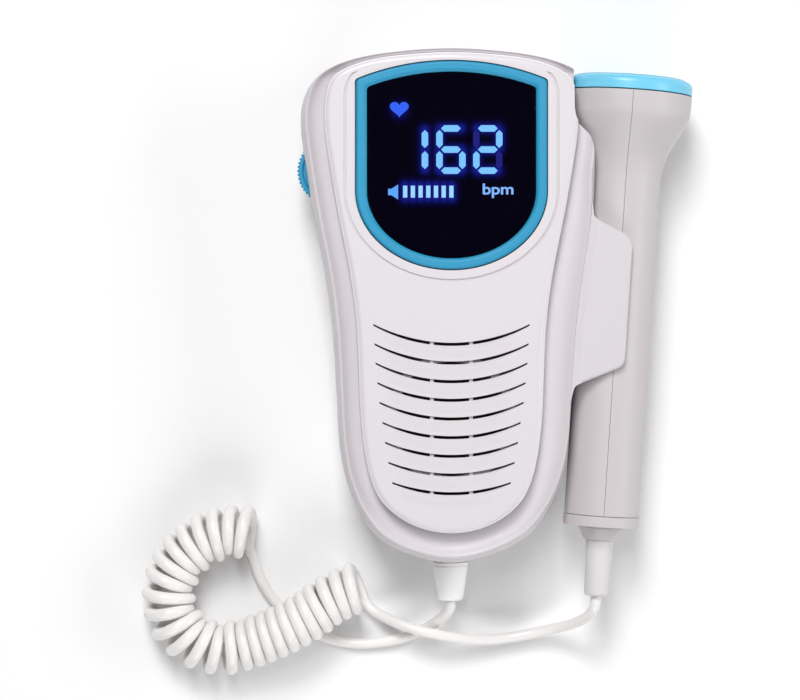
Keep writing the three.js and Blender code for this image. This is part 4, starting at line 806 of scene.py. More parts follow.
def rearShell():
    # the lower edge is a quarter ellipse: inset = edge * (1 - sin a), height = edge height * (1 - cos a). The bay,
    # bosses and posts are joined on, then the doorway, screw holes and openings are cut
    table, edge, bevel = bayTable, between(0), bayTable["rimBevel"]
    angle = np.linspace(0, np.pi / 2, 14)
    rings = [inset(edge, table["edge"] * (1 - np.sin(a))) for a in angle] + [edge, inset(edge, bevel)]
    heights = [table["edgeHeight"] * (1 - np.cos(a)) for a in angle] + [parting - bevel, parting]
    outer = stack("rear_shell_surface", rings, heights)
    combine(outer, [roundedFlap(parting, table["flapBottom"], table["flapEdge"], False)], "UNION")
    inside, floorRing = inset(coarseBody, wall), inset(coarseBody, wall + table["floorInset"])
    hollow = stack("hollow", [floorRing, inside, inside], [table["floorTop"], table["edgeHeight"], parting + 5])
    combine(hollow, [probeSpace(housingTable["thinWall"], 64)])
    combine(outer, [hollow])
    half, low, high, sill, ceiling = (table[key] for key in ("halfWidth", "low", "high", "sill", "ceiling"))
    floor, top = ceiling - table["roof"], table["supportTop"]
    added = [box("bay", (-half - sill, low - sill, 1), (half + sill, high + sill, ceiling))]
    added += [rod("boss", screwTable["boss"], place, 1, parting, 32) for place in screwPlaces]
    added += [rod("post", table["support"], place, 1, top, 24) for place in table["posts"]]
    added += [rod("peg", table["support"], place, floor, top, 24) for place in table["pegs"]]
    flange = glandDrum(table["glandRing"], *(endY + y for y in table["glandRingY"]))
    combine(flange, [glandDrum(glandTable["flange"], endY + wall, endY + 9)])
    combine(flange, [prism("whole", coarseBody, 0.5, parting)], "INTERSECT")
    combine(outer, [*added, flange], "UNION")
    lip, across = table["doorLip"], table["tabHalf"]
    doorway = inset(doorRing(half + lip, low - lip, high + lip), -gap)
    cuts = [box("bayHollow", (-half, low, -5), (half, high, floor)), prism("doorway", doorway, -5, 2)]
    for x in (-table["tabX"], table["tabX"]):
        cuts.append(box("tab", (x - across, low - lip - table["tabDepth"], 2), (x + across, low + gap, 5)))
    for place in screwPlaces:
        cuts.append(rod("head", screwTable["head"], place, -5, screwTable["seat"], 32))
        cuts.append(rod("shank", screwTable["shank"], place, 0, screwTable["shankTop"], 24))
    combine(outer, cuts + sharedCuts())
    return outer


dress(rearShell(), finishes["housing plastic"], "housing", ["rear_shell"])
print("rear shell made")

# display outline
displayTable = {"halfWidth": 22.4, "endY": 12, "sideY": 30, "cornerY": 57.3, "apexY": 61.4, "corner": 1.2}


def displayRing(offset, corner=displayTable["corner"]):
    # quarter ellipses below, straight sides, rounded corners and a shallow arc across the top, grown by an offset
    keys = ("halfWidth", "endY", "sideY", "cornerY", "apexY")
    halfWidth, lowY, sideY, topY, apexY = (displayTable[key] for key in keys)
    half, sagitta = halfWidth + offset, apexY - topY
    radius = (halfWidth**2 + sagitta**2) / (2 * sagitta) + offset
    centreY, cornerX = apexY + offset - radius, half - corner
    cornerY = centreY + np.sqrt((radius - corner) ** 2 - cornerX**2)
    turn = np.arctan2(cornerY - centreY, cornerX)
    low = np.linspace(-np.pi / 2, 0, 49)
    rising = np.linspace(0, 1, 20)[1:]
    bend, top = np.linspace(0, turn, 14)[1:], np.linspace(turn, np.pi / 2, 30)[1:]
    x = [half * np.cos(low), np.full(len(rising), half), cornerX + corner * np.cos(bend), radius * np.cos(top)]
    y = [
        sideY + (sideY - lowY + offset) * np.sin(low), sideY + (cornerY - sideY) * rising,
        cornerY + corner * np.sin(bend), centreY + radius * np.sin(top),
    ]
    right = np.column_stack([np.concatenate(x), np.concatenate(y)])
    right[[0, -1], 0] = 0
    return np.vstack([right, right[1:-1][::-1] * (-1, 1)])


# face panel with groove and louvred grille
panelTable = {
    "base": 28.5, "edge": 31.9, "top": 33.5, "thickness": 2, "rounding": 1.6, "opening": 3.2,
    "speakerY": -30.6, "pitch": 4.95, "slotHeight": 0.8, "flare": 0.8, "arcRadius": 44, "bridgeX": 5.2, "bridge": 1.0,
    "longest": 20.7, "endShare": 0.55, "grooveFloor": 5, "lipRise": 0.24, "lipReach": 3.9, "lipRoot": 0.5,
    "collar": 19, "collarBore": 17.8, "collarDepth": 2.4, "bridgeDepth": 0.8, "rimInset": 0.3, "grooveInset": 2.4,
    # for each row, its length as a share of the longest, and how far its open part reaches
    "rows": [
        (1, 12.5), (0.986, 13.4), (0.971, 14.1), (0.947, 14.7), (0.923, 15), (0.884, 14.6), (0.85, 13.8),
        (0.807, 12.5), (0.758, 11),
    ],
    # name, offset from the display, flare, corner size, lowest and highest level of the groove and of its core
    "groove": [("groove", 6.1, 0.15, 9, 33.1, 36), ("core", 5.6, -0.15, 8.5, 32, 38)],
}


def rowCurve(rowY, fromX, toX, count):
    # middle line of a row, an arc: y = row's y + arc radius - sqrt(arc radius^2 - x^2)
    x, radius = np.linspace(fromX, toX, count), panelTable["arcRadius"]
    return np.column_stack([x, rowY + radius - np.sqrt(radius**2 - x**2)])


def slotCutter(rowY, end, fromX, toX, floorZ):
    # a curved slot; its lower side leans back towards the light, and its half width shrinks to the row's ends:
    # half width = half height * (1 + (end share - 1) * share), where share eases from 0 half way out to 1 at the end
    table, top = panelTable, panelTable["top"]
    line = rowCurve(rowY, *sorted((fromX, toX)), 44)
    share = smoothStep((np.abs(line[:, 0]) / end - 0.5) / 0.5)
    half = table["slotHeight"] / 2 * (1 + (table["endShare"] - 1) * share)
    shift, lean = (np.column_stack([0 * share, y]) for y in (half, table["flare"] * (1 - 0.8 * share)))
    rings = [np.vstack([line - shift - grow * lean, (line + shift + (0, 0.04 * grow))[::-1]]) for grow in (0, 0, 1, 1)]
    return stack("slot", rings, [floorZ, top - 0.34, top + 0.26, top + 3])


def louvreLip(rowY, end):
    # below each slot the face stands proud: height = rise * fade(x) * (level front, then a long falling back)
    table = panelTable
    line = rowCurve(rowY, -end, end, 90)
    across = np.linspace(0, 1, 22)
    y = -(table["slotHeight"] / 2 + 0.02) - table["lipReach"] * across + 0.3 * (across < 0.01)
    shape = 1 - smoothStep((across - 0.16) / 0.84)
    fade = smoothStep((1 - np.abs(line[:, 0]) / end) / 0.45)
    upper = np.zeros((len(line), len(across), 3))
    upper[..., 0], upper[..., 1] = line[:, :1], line[:, 1:] + y
    upper[..., 2] = table["top"] - 0.02 + (table["lipRise"] + 0.02) * fade[:, None] * shape
    lower = upper[:, ::-1].copy()
    lower[..., 2] = table["top"] - table["lipRoot"]
    return gridSolid("lip", np.concatenate([upper, lower], axis=1))


def facePanel():
    # the rim is a quarter ellipse: inset = rounding * (1 - cos a), height = edge + (top - edge) * sin a. The lips
    # and the collar are joined on, then the opening, the groove and the rows of slots are cut
    table, base, top = panelTable, panelTable["base"], panelTable["top"]
    underside, centre = top - table["thickness"], (0, table["speakerY"])
    angle = np.linspace(0, np.pi / 2, 9)
    rings = [inset(panelRing, table["rimInset"] + table["rounding"] * (1 - np.cos(a))) for a in angle]
    heights = [table["edge"] + (top - table["edge"]) * np.sin(a) for a in angle]
    outer = stack("face_panel_surface", [panelRing, inset(panelRing, 0.04), *rings], [base, base + 0.3, *heights])
    middle = (len(table["rows"]) - 1) / 2
    rows = [
        (table["speakerY"] + (middle - row) * table["pitch"], table["longest"] * share, half)
        for row, (share, half) in enumerate(table["rows"])
    ]
    combine(outer, [louvreLip(rowY, end) for rowY, end, half in rows], "UNION")
    combine(outer, [prism("hollow", inset(coarsePanel, table["thickness"]), base - 5, underside)])
    collar = rod("collar", table["collar"], centre, underside - table["collarDepth"], underside + 0.3, 96)
    combine(collar, [rod("collarBore", table["collarBore"], centre, 20, underside, 96)])
    combine(outer, [collar], "UNION")
    combine(outer, [prism("opening", displayRing(table["opening"]), base - 1, housingTable["above"])])
    groove, core = (
        stack(name, [displayRing(offset + grow, corner) for grow in (0, 0, flare, flare)], [low, top - 0.15, top, high])
        for name, offset, flare, corner, low, high in table["groove"]
    )
    combine(groove, [core])
    combine(groove, [prism("field", inset(panelRing, table["grooveInset"]), 30, 38)], "INTERSECT")
    combine(outer, [groove])
    near, far = table["bridgeX"] - table["bridge"] / 2, table["bridgeX"] + table["bridge"] / 2
    through = underside - 3
    for rowY, end, half in rows:
        spans = [(half, end, top - table["grooveFloor"]), (far, half, through), (near, far, top - table["bridgeDepth"])]
        spans = [(side * fromX, side * toX, z) for side in (-1, 1) for fromX, toX, z in spans]
        for span in [*spans, (-near, near, through)]:
            combine(outer, [slotCutter(rowY, end, *span)])
    combine(outer, [notchCut(notchTable["clearance"])])
    return outer


def markRimHighlight(piece, low=0.15, middle=0.45, high=0.8):
    # rim attribute, the mask of a painted highlight: 1 at the middle distance in from the panel's outline, falling to 0
    # at low and high
    points, outline = meshPoints(piece.data) / mm, densely(panelRing, 0.3)
    upper = np.flatnonzero(points[:, 2] > 31)
    flat = points[upper, :2]
    squares = (flat**2).sum(axis=1)[:, None] + (outline**2).sum(axis=1) - 2 * flat @ outline.T
    rim = np.zeros(len(points))
    rim[upper] = np.interp(np.sqrt(np.maximum(squares.min(axis=1), 0)), (low, middle, high), (0, 1, 0))
    piece.data.attributes.new("rim", "FLOAT", "POINT").data.foreach_set("value", rim)
    return piece


# the face panel's rim attribute carries the painted edge highlight
dress(markRimHighlight(facePanel()), finishes["face plastic"], "housing", ["face_panel"])
print("face panel made")

# display ring
bezelTable = {"width": 2.9, "top": 34.1, "flange": 0.9, "bottom": 29.9, "flangeTop": 31.2, "inner": 0.02}


def displayBezel():
    # cross-section of offset and height, carried round the display's outline
    inner, width, top, low, high = (bezelTable[key] for key in ("inner", "width", "top", "bottom", "flangeTop"))
    far = width + bezelTable["flange"]
    section = rounded([
        (inner, low, 0), (inner, top - 0.55, 0.2), (0.75, top - 0.02, 0.3), (width - 0.4, top, 0.3),
        (width, top - 0.45, 0.18), (width, high, 0), (far, high, 0), (far, low, 0),
    ], 5)
    grid = np.stack([lifted(displayRing(offset), z) for offset, z in section])
    return gridSolid("display_ring", np.concatenate([grid, grid[:1]]), caps=False)


dress(displayBezel(), finishes["turquoise plastic"], "housing", ["display_bezel"])

# display window and its lit signs
signTable = {
    "top": 33.7, "low": 0.005, "high": 0.05,
    "digitY": 40.79, "digitX": (-10.1, -0.16, 9.6), "width": 7.8, "height": 12.9, "stroke": 1.72, "gap": 0.41,
    "lit": ("bc", "acdefg", "abdeg"), "dim": ("", "", "cf"),
    "barX": -12.28, "barPitch": 2.04, "barWidth": 1.12, "barHeight": 3.15, "barY": 29.64, "bars": 7,
    "heart": (-13.84, 51.3), "heartSize": (5.0, 4.15), "speaker": (-15.35, 29.55), "unit": (8.25, 27.95, 16.4, 31.8),
}


def digitPolygons(segments):
    # each segment is a stroke with pointed ends, between two of the digit's six nodes
    table, stroke, rows = signTable, signTable["stroke"], []
    w, h = (table["width"] - stroke) / 2, (table["height"] - stroke) / 2
    nodes = {
        "a": (-w, h, w, h), "b": (w, h, w, 0), "c": (w, 0, w, -h), "d": (-w, -h, w, -h), "e": (-w, 0, -w, -h),
        "f": (-w, h, -w, 0), "g": (-w, 0, w, 0),
    }
    for x, names in zip(table["digitX"], segments):
        for name in names:
            start, end = np.array(nodes[name], float).reshape(2, 2) + (x, table["digitY"])
            along = (end - start) / np.linalg.norm(end - start)
            across, bevel = np.array([-along[1], along[0]]) * stroke / 2, along * stroke / 2
            start, end = start + along * table["gap"], end - along * table["gap"]
            sides = [start + bevel + across, end - bevel + across, end, end - bevel - across, start + bevel - across]
            rows.append(np.array([start, *sides]))
    return rows


def heartPolygon():
    # x = 16 sin^3 t, y = 13 cos t - 5 cos 2t - 2 cos 3t - cos 4t, scaled to size
    t = np.linspace(0, 2 * np.pi, 72, endpoint=False)
    x = 16 * np.sin(t) ** 3
    y = 13 * np.cos(t) - 5 * np.cos(2 * t) - 2 * np.cos(3 * t) - np.cos(4 * t)
    flat = np.column_stack([x / 32, (y - (y.max() + y.min()) / 2) / (y.max() - y.min())]) * signTable["heartSize"]
    return flat[::-1] + signTable["heart"]


def barPolygons():
    # rectangles at x = first + pitch * number
    table = signTable
    half = np.array([(-1, -1), (1, -1), (1, 1), (-1, 1)]) * (table["barWidth"] / 2, table["barHeight"] / 2)
    return [half + (table["barX"] + table["barPitch"] * bar, table["barY"]) for bar in range(table["bars"])]


def signMesh(name, polygons, material):
    # flat signs with a little thickness, just on the window
    low, high = signTable["top"] + signTable["low"], signTable["top"] + signTable["high"]
    parts = [prism(name, ring, low, high) for ring in polygons]
    bpy.ops.object.select_all(action="DESELECT")
    for part in parts:
        part.select_set(True)
    bpy.context.view_layer.objects.active = parts[0]
    if len(parts) > 1:
        bpy.ops.object.join()
    parts[0].name = name
    return dress(parts[0], material, "housing", (), 32, False)


def glowMaterial(name, colour, strength=1, base=(0.02, 0.03, 0.08)):
    # lit sign: brightness dips slightly in a fine diffuser pattern of cells
    settings = {"Base_Color": base, "Specular_IOR_Level": 0.05, "Emission_Strength": strength}
    material, tree, shader = plainMaterial(name, Roughness=0.35, **settings)
    level = ranged(tree, cells(tree, objectPlace(tree), 1700), 0, 0.8, 1, 0.78)
    fill(tree, shader, {"Emission Color": mixed(tree, level, tuple(value * 0.6 for value in colour), colour)})
    return material


litBlue = glowMaterial("lit sign", (0.19, 0.56, 1.0))
heartBlue = glowMaterial("heart sign", (0.012, 0.10, 0.97), 0.9)
speakerBlue = glowMaterial("loudspeaker sign", (0.09, 0.36, 1.0))
barBlue = glowMaterial("level bar sign", (0.33, 0.70, 1.0))
unitBlue = glowMaterial("unit sign", (0.22, 0.47, 1.0))
dimBlue = glowMaterial("unlit segment", (0.008, 0.0095, 0.19), 1, (0.004, 0.003, 0.02))
speakerCorners = [(-1.45, -0.85), (-0.55, -0.85), (1.2, -2.0), (1.2, 2.0), (-0.55, 0.85), (-1.45, 0.85)]
digits, bars = digitPolygons(signTable["lit"]), barPolygons()
signMesh("sign_digits", digits, litBlue)
signMesh("sign_unlit_segments", digitPolygons(signTable["dim"]), dimBlue)
signMesh("sign_level_bars", bars, barBlue)
signMesh("sign_loudspeaker", [np.array(speakerCorners) + signTable["speaker"]], speakerBlue)
signMesh("sign_heart", [heartPolygon()], heartBlue)


def unitText():
    # letters from the built-in font, brought to size
    curve = bpy.data.curves.new("sign_unit", "FONT")
    curve.body, curve.size, curve.offset, curve.extrude = "bpm", 1, 0.018, 0.01
    text = bpy.data.objects.new("sign_unit", curve)
    scene.collection.objects.link(text)
    mesh = bpy.data.meshes.new_from_object(text.evaluated_get(bpy.context.evaluated_depsgraph_get()))
    bpy.data.objects.remove(text)
    points = meshPoints(mesh).astype(np.float32)
    (left, bottom, right, top), z = signTable["unit"], signTable["top"]
    target = np.array([[left, bottom, z + signTable["low"]], [right, top, z + signTable["high"]]])
    low, high = points.min(axis=0), points.max(axis=0)
    points = (target[0] + (points - low) / (high - low) * (target[1] - target[0])) * mm
    mesh.vertices.foreach_set("co", points.astype(np.float32).ravel())
    mesh.update()
    piece = bpy.data.objects.new("sign_unit", mesh)
    scene.collection.objects.link(piece)
    return dress(weld(piece, 0.0004), unitBlue, "housing", (), 32, False)


unitText()


def strokeDistance(points, starts, ends):
    # distance from each point to the nearest of the strokes
    axis = ends - starts
    t = np.clip(((points[:, None] - starts) * axis).sum(2) / np.maximum((axis**2).sum(1), 1e-9), 0, 1)
    return np.linalg.norm(points[:, None] - starts - t[..., None] * axis, axis=2).min(1)


# start and reach of the halo round the digits and bars, and round the heart
glowTable = {"centre": (0, 37.0), "power": 1.3, "stroke": (0.6, 0.75), "heart": (1.9, 0.8), "heartShare": 0.35}


def fallOff(distance, kind):
    # 1 up to the start, then exp(-((distance - start) / reach)^power)
    start, reach = glowTable[kind]
    return np.exp(-((np.maximum(distance - start, 0) / reach) ** glowTable["power"]))


def displayWindow():
    # rings shrunk from the outline towards a centre; the glow attribute falls off with the distance from the lit
    # signs: glow = the larger of the strokes' fall-off and a share of the heart's
    top, edge, centre = signTable["top"], displayRing(-0.3), np.array(glowTable["centre"])
    rings = [lifted(centre + (edge - centre) * share, top) for share in np.linspace(0.004, 1, 110)]
    rings += [lifted(inset(edge, -0.03), top - depth) for depth in (0.12, 1.6)]
    piece = gridSolid("display_glass", np.stack(rings))
    flat = meshPoints(piece.data)[:, :2] / mm
    strokes = [(ring[0], ring[3]) for ring in digits]
    strokes += [((ring[0] + ring[1]) / 2, (ring[2] + ring[3]) / 2) for ring in bars]
    starts, ends = np.array(strokes).transpose(1, 0, 2)
    glow = fallOff(strokeDistance(flat, starts, ends), "stroke")
    heart = fallOff(np.linalg.norm(flat - signTable["heart"], axis=1), "heart")
    glow = np.maximum(glow, glowTable["heartShare"] * heart).astype(np.float32)
    piece.data.attributes.new("glow", "FLOAT", "POINT").data.foreach_set("value", glow)
    return piece


def windowMaterial():
    # near-black glass, smeared a little; halo colour = glow attribute * blue
    material, tree, shader = plainMaterial("display glass", Specular_IOR_Level=0.03, Emission_Strength=1)
    smear = noise(tree, objectPlace(tree), 90, 3)
    glow = addNode(tree, "Attribute", attribute_name="glow").outputs["Fac"]
    fill(tree, shader, {
        "Base Color": mixed(tree, smear, (0.0010, 0.0006, 0.0034), (0.0018, 0.0011, 0.0056)),
        "Roughness": mathNode(tree, "MULTIPLY_ADD", smear, 0.05, 0.04),
        "Emission Color": mixed(tree, glow, (0, 0, 0), (0.006, 0.010, 0.22)),
    })
    return material


dress(displayWindow(), windowMaterial(), "housing", ["display_window"], 32, False)
print("display made")


# volume wheel
def volumeWheel():
    # radius = wheel radius - tooth depth * (0.5 - 0.5 cos(teeth * angle)), eased at both faces, both of them dished
    table, (x, y) = wheelTable, wheelTable["centre"]
    angle = np.linspace(0, 2 * np.pi, table["teeth"] * 10, endpoint=False)
    rim = table["radius"] - table["toothDepth"] * (0.5 - 0.5 * np.cos(table["teeth"] * angle))
    plain, half, dish = table["radius"] - table["toothDepth"], table["thickness"] / 2, table["dish"]
    # radius, height and share of the teeth, over the lower half of the wheel
    steps = [
        (table["bore"], -half, 0), (plain * 0.55, -half, 0), (plain * 0.6, -half + dish, 0),
        (plain * 0.86, -half + dish, 0), (plain * 0.9, -half, 0), (plain - 0.35, -half, 0),
        (plain - 0.1, -half + 0.08, 0.35), (0, -half + 0.35, 1), (0, -half + 0.7, 1),
    ]
    steps += [(radius, -z, share) for radius, z, share in steps[::-1]] + steps[:1]
    grid = []
    for radius, z, share in steps:
        radii = rim if share == 1 else radius + (rim - radius) * share
        grid.append(lifted(np.column_stack([x + radii * np.cos(angle), y + radii * np.sin(angle)]), z + table["z"]))
    return gridSolid("volume_wheel_rim", np.stack(grid), caps=False)


dress(volumeWheel(), finishes["turquoise plastic"], "volume_wheel", ["volume_wheel"], 40)

# battery door
doorTable = {
    "half": 17.3, "low": -43.1, "high": 16.3, "tabX": (-10, 10), "tabHalf": 2, "tabTop": 3.3, "tabReach": 1.8,
    "gripY": 8.3, "grip": [(7.25, -1), (7.0, 0.4), (6.6, 1.0)], "rib": [(-10, -36.7, 1.4), (10, -34.9, 1.8)],
    "ridgeHalf": 5.2, "ridgePitch": 2.0, "ridgeStep": 0.35, "ridgeWidth": 0.3, "ridgeZ": (0.2, 1.2),
    # distance in from the outline, and height
    "edge": [(0.3, 0.1), (0.09, 0.19), (0, 0.4), (0, 1.6), (0.1, 1.7)],
}


def batteryDoor():
    # a plate with eased edges, tabs and a rib, and a hollowed grip with five ridges in it
    table, low, across, top = doorTable, doorTable["low"], doorTable["tabHalf"], doorTable["tabTop"]
    ring = densely(doorRing(table["half"], low, table["high"]), 0.6)
    insets, levels = zip(*table["edge"])
    plate = stack("battery_door_plate", [inset(ring, distance) for distance in insets], levels)
    tabs = [box("tab", (x - across, low, 1.4), (x + across, low + 1, top)) for x in table["tabX"]]
    tabs += [box("tab", (x - across, low - table["tabReach"], 2.3), (x + across, low + 1, top)) for x in table["tabX"]]
    combine(plate, [*tabs, box("rib", *table["rib"])], "UNION")
    radii, heights = zip(*table["grip"])
    combine(plate, [stack("grip", [circle(radius, (0, table["gripY"]), 72) for radius in radii], heights)])
    ridges, width, (bottom, crown) = [], table["ridgeWidth"], table["ridgeZ"]
    for step in range(-2, 3):
        half, y = table["ridgeHalf"] - table["ridgeStep"] * abs(step), table["gripY"] + step * table["ridgePitch"]
        ridges.append(box("ridge", (-half, y - width, bottom), (half, y + width, crown)))
    combine(plate, ridges, "UNION")
    return plate


dress(batteryDoor(), finishes["housing plastic"], "battery_door", ["battery_door"])
print("wheel and door made")


# gland where the cord leaves the housing
def cordGland():
    # radius and height from inside the housing outwards: flange, neck, grooved lip, taper
    face = gap - endY
    inside, tip = face - gap - wall - gap, face + 10.45
    profile = rounded([
        (0, inside - 1.6, 0), (6.2, inside - 1.6, 0.2), (6.2, inside, 0.2), (3.8, inside, 0), (3.8, face, 0),
        (4.9, face, 0.12), (4.88, face + 0.8, 0.06), (4.6, face + 0.86, 0.05), (4.58, face + 1.12, 0.05),
        (4.82, face + 1.2, 0.08), (3.55, face + 9.8, 0.4), (3.0, tip, 0.4), (1.6, tip, 0.12),
        (1.5, face + 8.2, 0), (0, face + 8.2, 0),
    ], 6)
    return turned("cord_gland_sleeve", profile, 96, frameAt((0, 0, glandTable["z"]), np.diag([1, -1, -1])))


# the gland's near-white rubber is painted light against the housing's shadow
dress(cordGland(), finishes["gland rubber painted light"], "housing", ["cord_gland"])


# probe
def probeOuter():
    # radius and height of the shell's outside: seat of the ring, handle, neck, head
    table, low, foot, seat = probeTable, probeTable["shellFoot"], probeTable["handleFoot"], probeTable["ringSeat"]
    high, head, end = table["ringStart"] + table["ringLength"] + 0.1, table["head"], table["headEnd"]
    start = [(0, low, 0), (seat, low, 0.2), (seat, high, 0), (foot, high, 0.2), (foot - 0.01, high + 2, 0)]
    finish = [(head, end - 1, 0), (head, end, 0.2), (head - 0.6, end, 0)]
    return np.vstack([rounded(start, 5), probeNeck(0, 10)[:-1], rounded(finish, 5)])


def probeInner():
    # the same from the head back to the foot, one wall further in
    table, thick = probeTable, probeTable["wall"]
    floor, seat = table["shellFoot"] + 2, table["ringSeat"] - thick
    return np.vstack([
        [table["head"] - thick, table["headEnd"]], probeNeck(-thick, 6)[:-1][::-1],
        [table["handle"] - thick, floor + 4.5], [seat, floor + 2.9], [seat, floor], [0, floor],
    ])


# seam between the probe's halves: its gap on each side, and the tongue that bridges it inside
seamTable = {"bore": 4.0, "gap": 0.05, "outer": 0.07, "inner": 1.0, "reach": 0.75, "room": 0.04, "back": 0.3}


def probeHalf(name, side):
    table, seam, foot = probeTable, seamTable, probeTable["handleFoot"]
    cup = turned(name, np.vstack([probeOuter(), probeInner()]), 160, probeFrame)
    combine(cup, [drum("bore", seam["bore"], -4, 3.6, 48, probeFrame)])
    left, right = sorted((side * seam["gap"], side * 30))
    combine(cup, [box("half", (left, -8, -30), (right, 130, 30), probeFrame)], "INTERSECT")
    # a tongue inside the seam: the left half reaches across, the right half is cut back for it
    outline, core = probeNeck(-seam["outer"])[:-1], probeNeck(-seam["inner"])[:-1]
    rim = [[ring[-1, 0], table["headEnd"] - 0.8] for ring in (outline, core)]
    tongue = turned("tongue", np.vstack([
        [foot - 0.1, 6.4], outline, rim, core[::-1], [foot - 1.4, 6.4], [foot - 0.1, 6.4],
    ]), 160, probeFrame)
    reach, end = seam["reach"] + (seam["room"] if side > 0 else 0), table["headEnd"] - 0.9
    combine(tongue, [box("band", (-seam["back"], 6.5, -30), (reach, end, 30), probeFrame)], "INTERSECT")
    combine(cup, [tongue], "UNION" if side < 0 else "DIFFERENCE")
    return cup


def probeCap():
    # radius and height: spigot inside the head, rim, and a face that rounds over
    table, head = probeTable, probeTable["head"]
    start, inner = table["headEnd"] + gap, head - table["wall"] - gap
    top = start + table["capThickness"]
    profile = rounded([
        (0, start, 0), (inner - 1.2, start, 0), (inner - 1.2, start - 2.4, 0), (inner, start - 2.4, 0),
        (inner, start, 0), (head, start, 0.12), (head, top - 1.5, 1.0), (head - 1.5, top - 0.25, 1.4),
        (head - 5.6, top, 3.5), (0, top, 0),
    ], 10)
    return turned("probe_cap", profile, 160, probeFrame)


def probeRing():
    # a rectangle with rounded outer corners, turned about the probe's axis
    table, low, radius = probeTable, probeTable["ringStart"], probeTable["ringRadius"]
    inner, high = table["ringSeat"] + gap, low + table["ringLength"]
    ring = rounded([(inner, low, 0), (radius, low, 0.35), (radius, high, 0.35), (inner, high, 0)], 6)
    return turned("probe_clamp_ring", np.vstack([ring, ring[:1]]), 128, probeFrame)


def probeRelief():
    # from the tip: sleeve, collar, neck through the shell and flange behind it
    top = probeTable["shellFoot"] - gap
    foot = top - probeTable["collar"]
    tip, flange = foot - probeTable["sleeve"], probeTable["shellFoot"] + 2 + gap
    profile = rounded([
        (0, tip + 2.2, 0), (1.5, tip + 2.2, 0), (1.6, tip, 0.12), (2.85, tip, 0.4), (3.3, tip + 0.5, 0.4),
        (3.7, foot - 0.25, 0.1), (3.6, foot - 0.1, 0.05), (4.3, foot, 0.15), (4.5, foot + 0.3, 0.1),
        (6.1, top - 0.3, 0.15), (6.1, top, 0.1), (3.7, top, 0), (3.7, flange, 0), (5.6, flange, 0.2),
        (5.6, flange + 1.6, 0.2), (0, flange + 1.6, 0),
    ], 6)
    piece = turned("probe_relief_sleeve", profile, 96, probeFrame)
    # the sleeve's darker rubber is painted shade
    dress(piece, finishes["relief rubber painted shade"], "probe", ["probe_strain_relief"])
    # the collar is moulded in the probe's plastic
    piece.data.materials.append(finishes["probe plastic"])
    centres = np.empty(len(piece.data.polygons) * 3)
    piece.data.polygons.foreach_get("center", centres)
    collar = centres.reshape(-1, 3)[:, 1] > (onProbe(foot) * mm)[1]
    piece.data.polygons.foreach_set("material_index", collar.astype(np.int32))


for name, side in (("left", -1), ("right", 1)):
    half = probeHalf("probe_shell_half_" + name, side)
    dress(half, finishes["probe plastic"], "probe", ["probe_shell_" + name])
dress(probeCap(), finishes["cap plastic"], "probe", ["probe_face_cap"], 40)
dress(probeRing(), finishes["probe plastic"], "probe", ["probe_end_ring"])
probeRelief()
print("probe made")


# inner pieces keep their CAD shape and get real finishes
def boardMaterial():
    # solder mask: copper tracks run along the borders between large cells, pads are the middles of small ones
    material, tree, shader = plainMaterial("circuit board", Roughness=0.35)
    place = objectPlace(tree)
    tracks = ranged(tree, cells(tree, place, 260, feature="DISTANCE_TO_EDGE"), 0.06, 0.03)
    pads = ranged(tree, cells(tree, place, 330, Randomness=0.3), 0.2, 0.17)
    mask = mixed(tree, tracks, (0.012, 0.13, 0.055), (0.03, 0.24, 0.09))
    fill(tree, shader, {"Base Color": mixed(tree, pads, mask, (0.62, 0.58, 0.48))})
    bumped(tree, shader, tracks, 0.4, 0.05)
    return material


def cellMaterial():
    # printed sleeve: a copper-coloured end band and a green body; roughness is a fine print grain
    material, tree, shader = plainMaterial("cell sleeve", Metallic=0.4)
    place = objectPlace(tree)
    band = ranged(tree, addNode(tree, "SeparateXYZ", Vector=place).outputs["Y"], -0.001, -0.0008)
    fill(tree, shader, {
        "Base Color": mixed(tree, band, (0.035, 0.15, 0.08), (0.42, 0.24, 0.10)),
        "Roughness": mathNode(tree, "MULTIPLY_ADD", noise(tree, place, 700, 2), 0.15, 0.22),
    })
    return material


finishes |= {"circuit board": boardMaterial(), "cell sleeve": cellMaterial()}
keptNodes = {
    "foam": ["display_gasket", "probe_seal", "probe_backing"],
    "black plastic": ["display_module", "volume_potentiometer"],
    "circuit board": ["main_board", "probe_board"],
    "pressed steel": ["speaker_frame", "case_screw_1", "case_screw_2", "case_screw_3", "case_screw_4"],
    "cone paper": ["speaker_cone"], "ferrite": ["speaker_magnet"], "ceramic": ["probe_transducer"],
    "cell sleeve": ["battery_cell_left", "battery_cell_right"],
    "plated contact": ["battery_contact_top", "battery_contact_bottom"],
}
for finish, names in keptNodes.items():
    for slot in [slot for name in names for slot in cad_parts[name].material_slots]:
        slot.material = finishes[finish]
print("inner pieces finished")

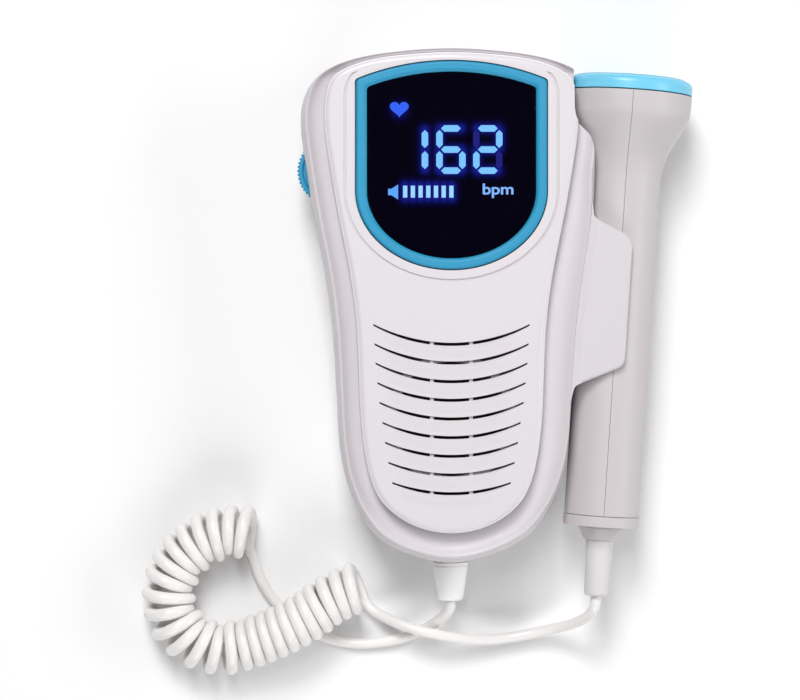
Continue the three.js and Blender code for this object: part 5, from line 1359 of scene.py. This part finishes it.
# stage: floor, lights and world
stageTable = {
    "floor": 8.0, "floorColour": 0.83, "floorZ": -0.0001, "lift": 0.03, "surround": 0.9, "fill": 0.16,
    # place and size in metres, and power
    "lights": {
        "key": ((-0.2, 0.88, 1.15), (0.5, 0.5), 14.2), "high": ((-0.1, 0.5, 1.45), (0.4, 0.4), 4.8),
        "right_strip": ((0.85, 0.0, 0.5), (0.9, 0.3), 3.4), "left_strip": ((-0.85, -0.05, 0.42), (0.9, 0.2), 0.35),
        "front_strip": ((0.0, -0.9, 0.5), (0.9, 0.4), 4.6),
    },
}


def stageFloor():
    # pale paper that glows a little where it is seen, and not where it lights the part
    size, z, value = stageTable["floor"] / 2, stageTable["floorZ"], stageTable["floorColour"]
    mesh = bpy.data.meshes.new("floor")
    mesh.from_pydata([(-size, -size, z), (size, -size, z), (size, size, z), (-size, size, z)], [], [(0, 1, 2, 3)])
    floor = bpy.data.objects.new("floor", mesh)
    scene.collection.objects.link(floor)
    settings = {"Specular_IOR_Level": 0, "Base_Color": (value, value, value), "Emission_Color": (1, 1, 1)}
    material, tree, shader = plainMaterial("floor paper", Roughness=0.9, **settings)
    rays = addNode(tree, "LightPath").outputs
    seen = mathNode(tree, "MAXIMUM", rays["Is Camera Ray"], rays["Is Glossy Ray"])
    seen = mathNode(tree, "MAXIMUM", seen, rays["Is Transmission Ray"])
    fill(tree, shader, {"Emission Strength": mathNode(tree, "MULTIPLY", seen, stageTable["lift"])})
    mesh.materials.append(material)


def areaLight(name, place, size, power):
    data = bpy.data.lights.new(name, "AREA")
    data.shape, data.energy = "RECTANGLE", power
    data.size, data.size_y = size
    light = bpy.data.objects.new(name, data)
    light.location = place
    light.rotation_euler = (Vector((0, 0, 0.01)) - Vector(place)).to_track_quat("-Z", "Y").to_euler()
    scene.collection.objects.link(light)


stageFloor()
for name, settings in stageTable["lights"].items():
    areaLight(name, *settings)
# the world lights with its fill strength and looks pale to the camera
scene.world = bpy.data.worlds.new("studio")
scene.world.use_nodes = True
tree, low = scene.world.node_tree, stageTable["fill"]
seen = addNode(tree, "LightPath").outputs["Is Camera Ray"]
level = mathNode(tree, "ADD", mathNode(tree, "MULTIPLY", seen, stageTable["surround"] - low), low)
fill(tree, tree.nodes["Background"], {"Color": (1, 1, 1), "Strength": level})
print("stage made")
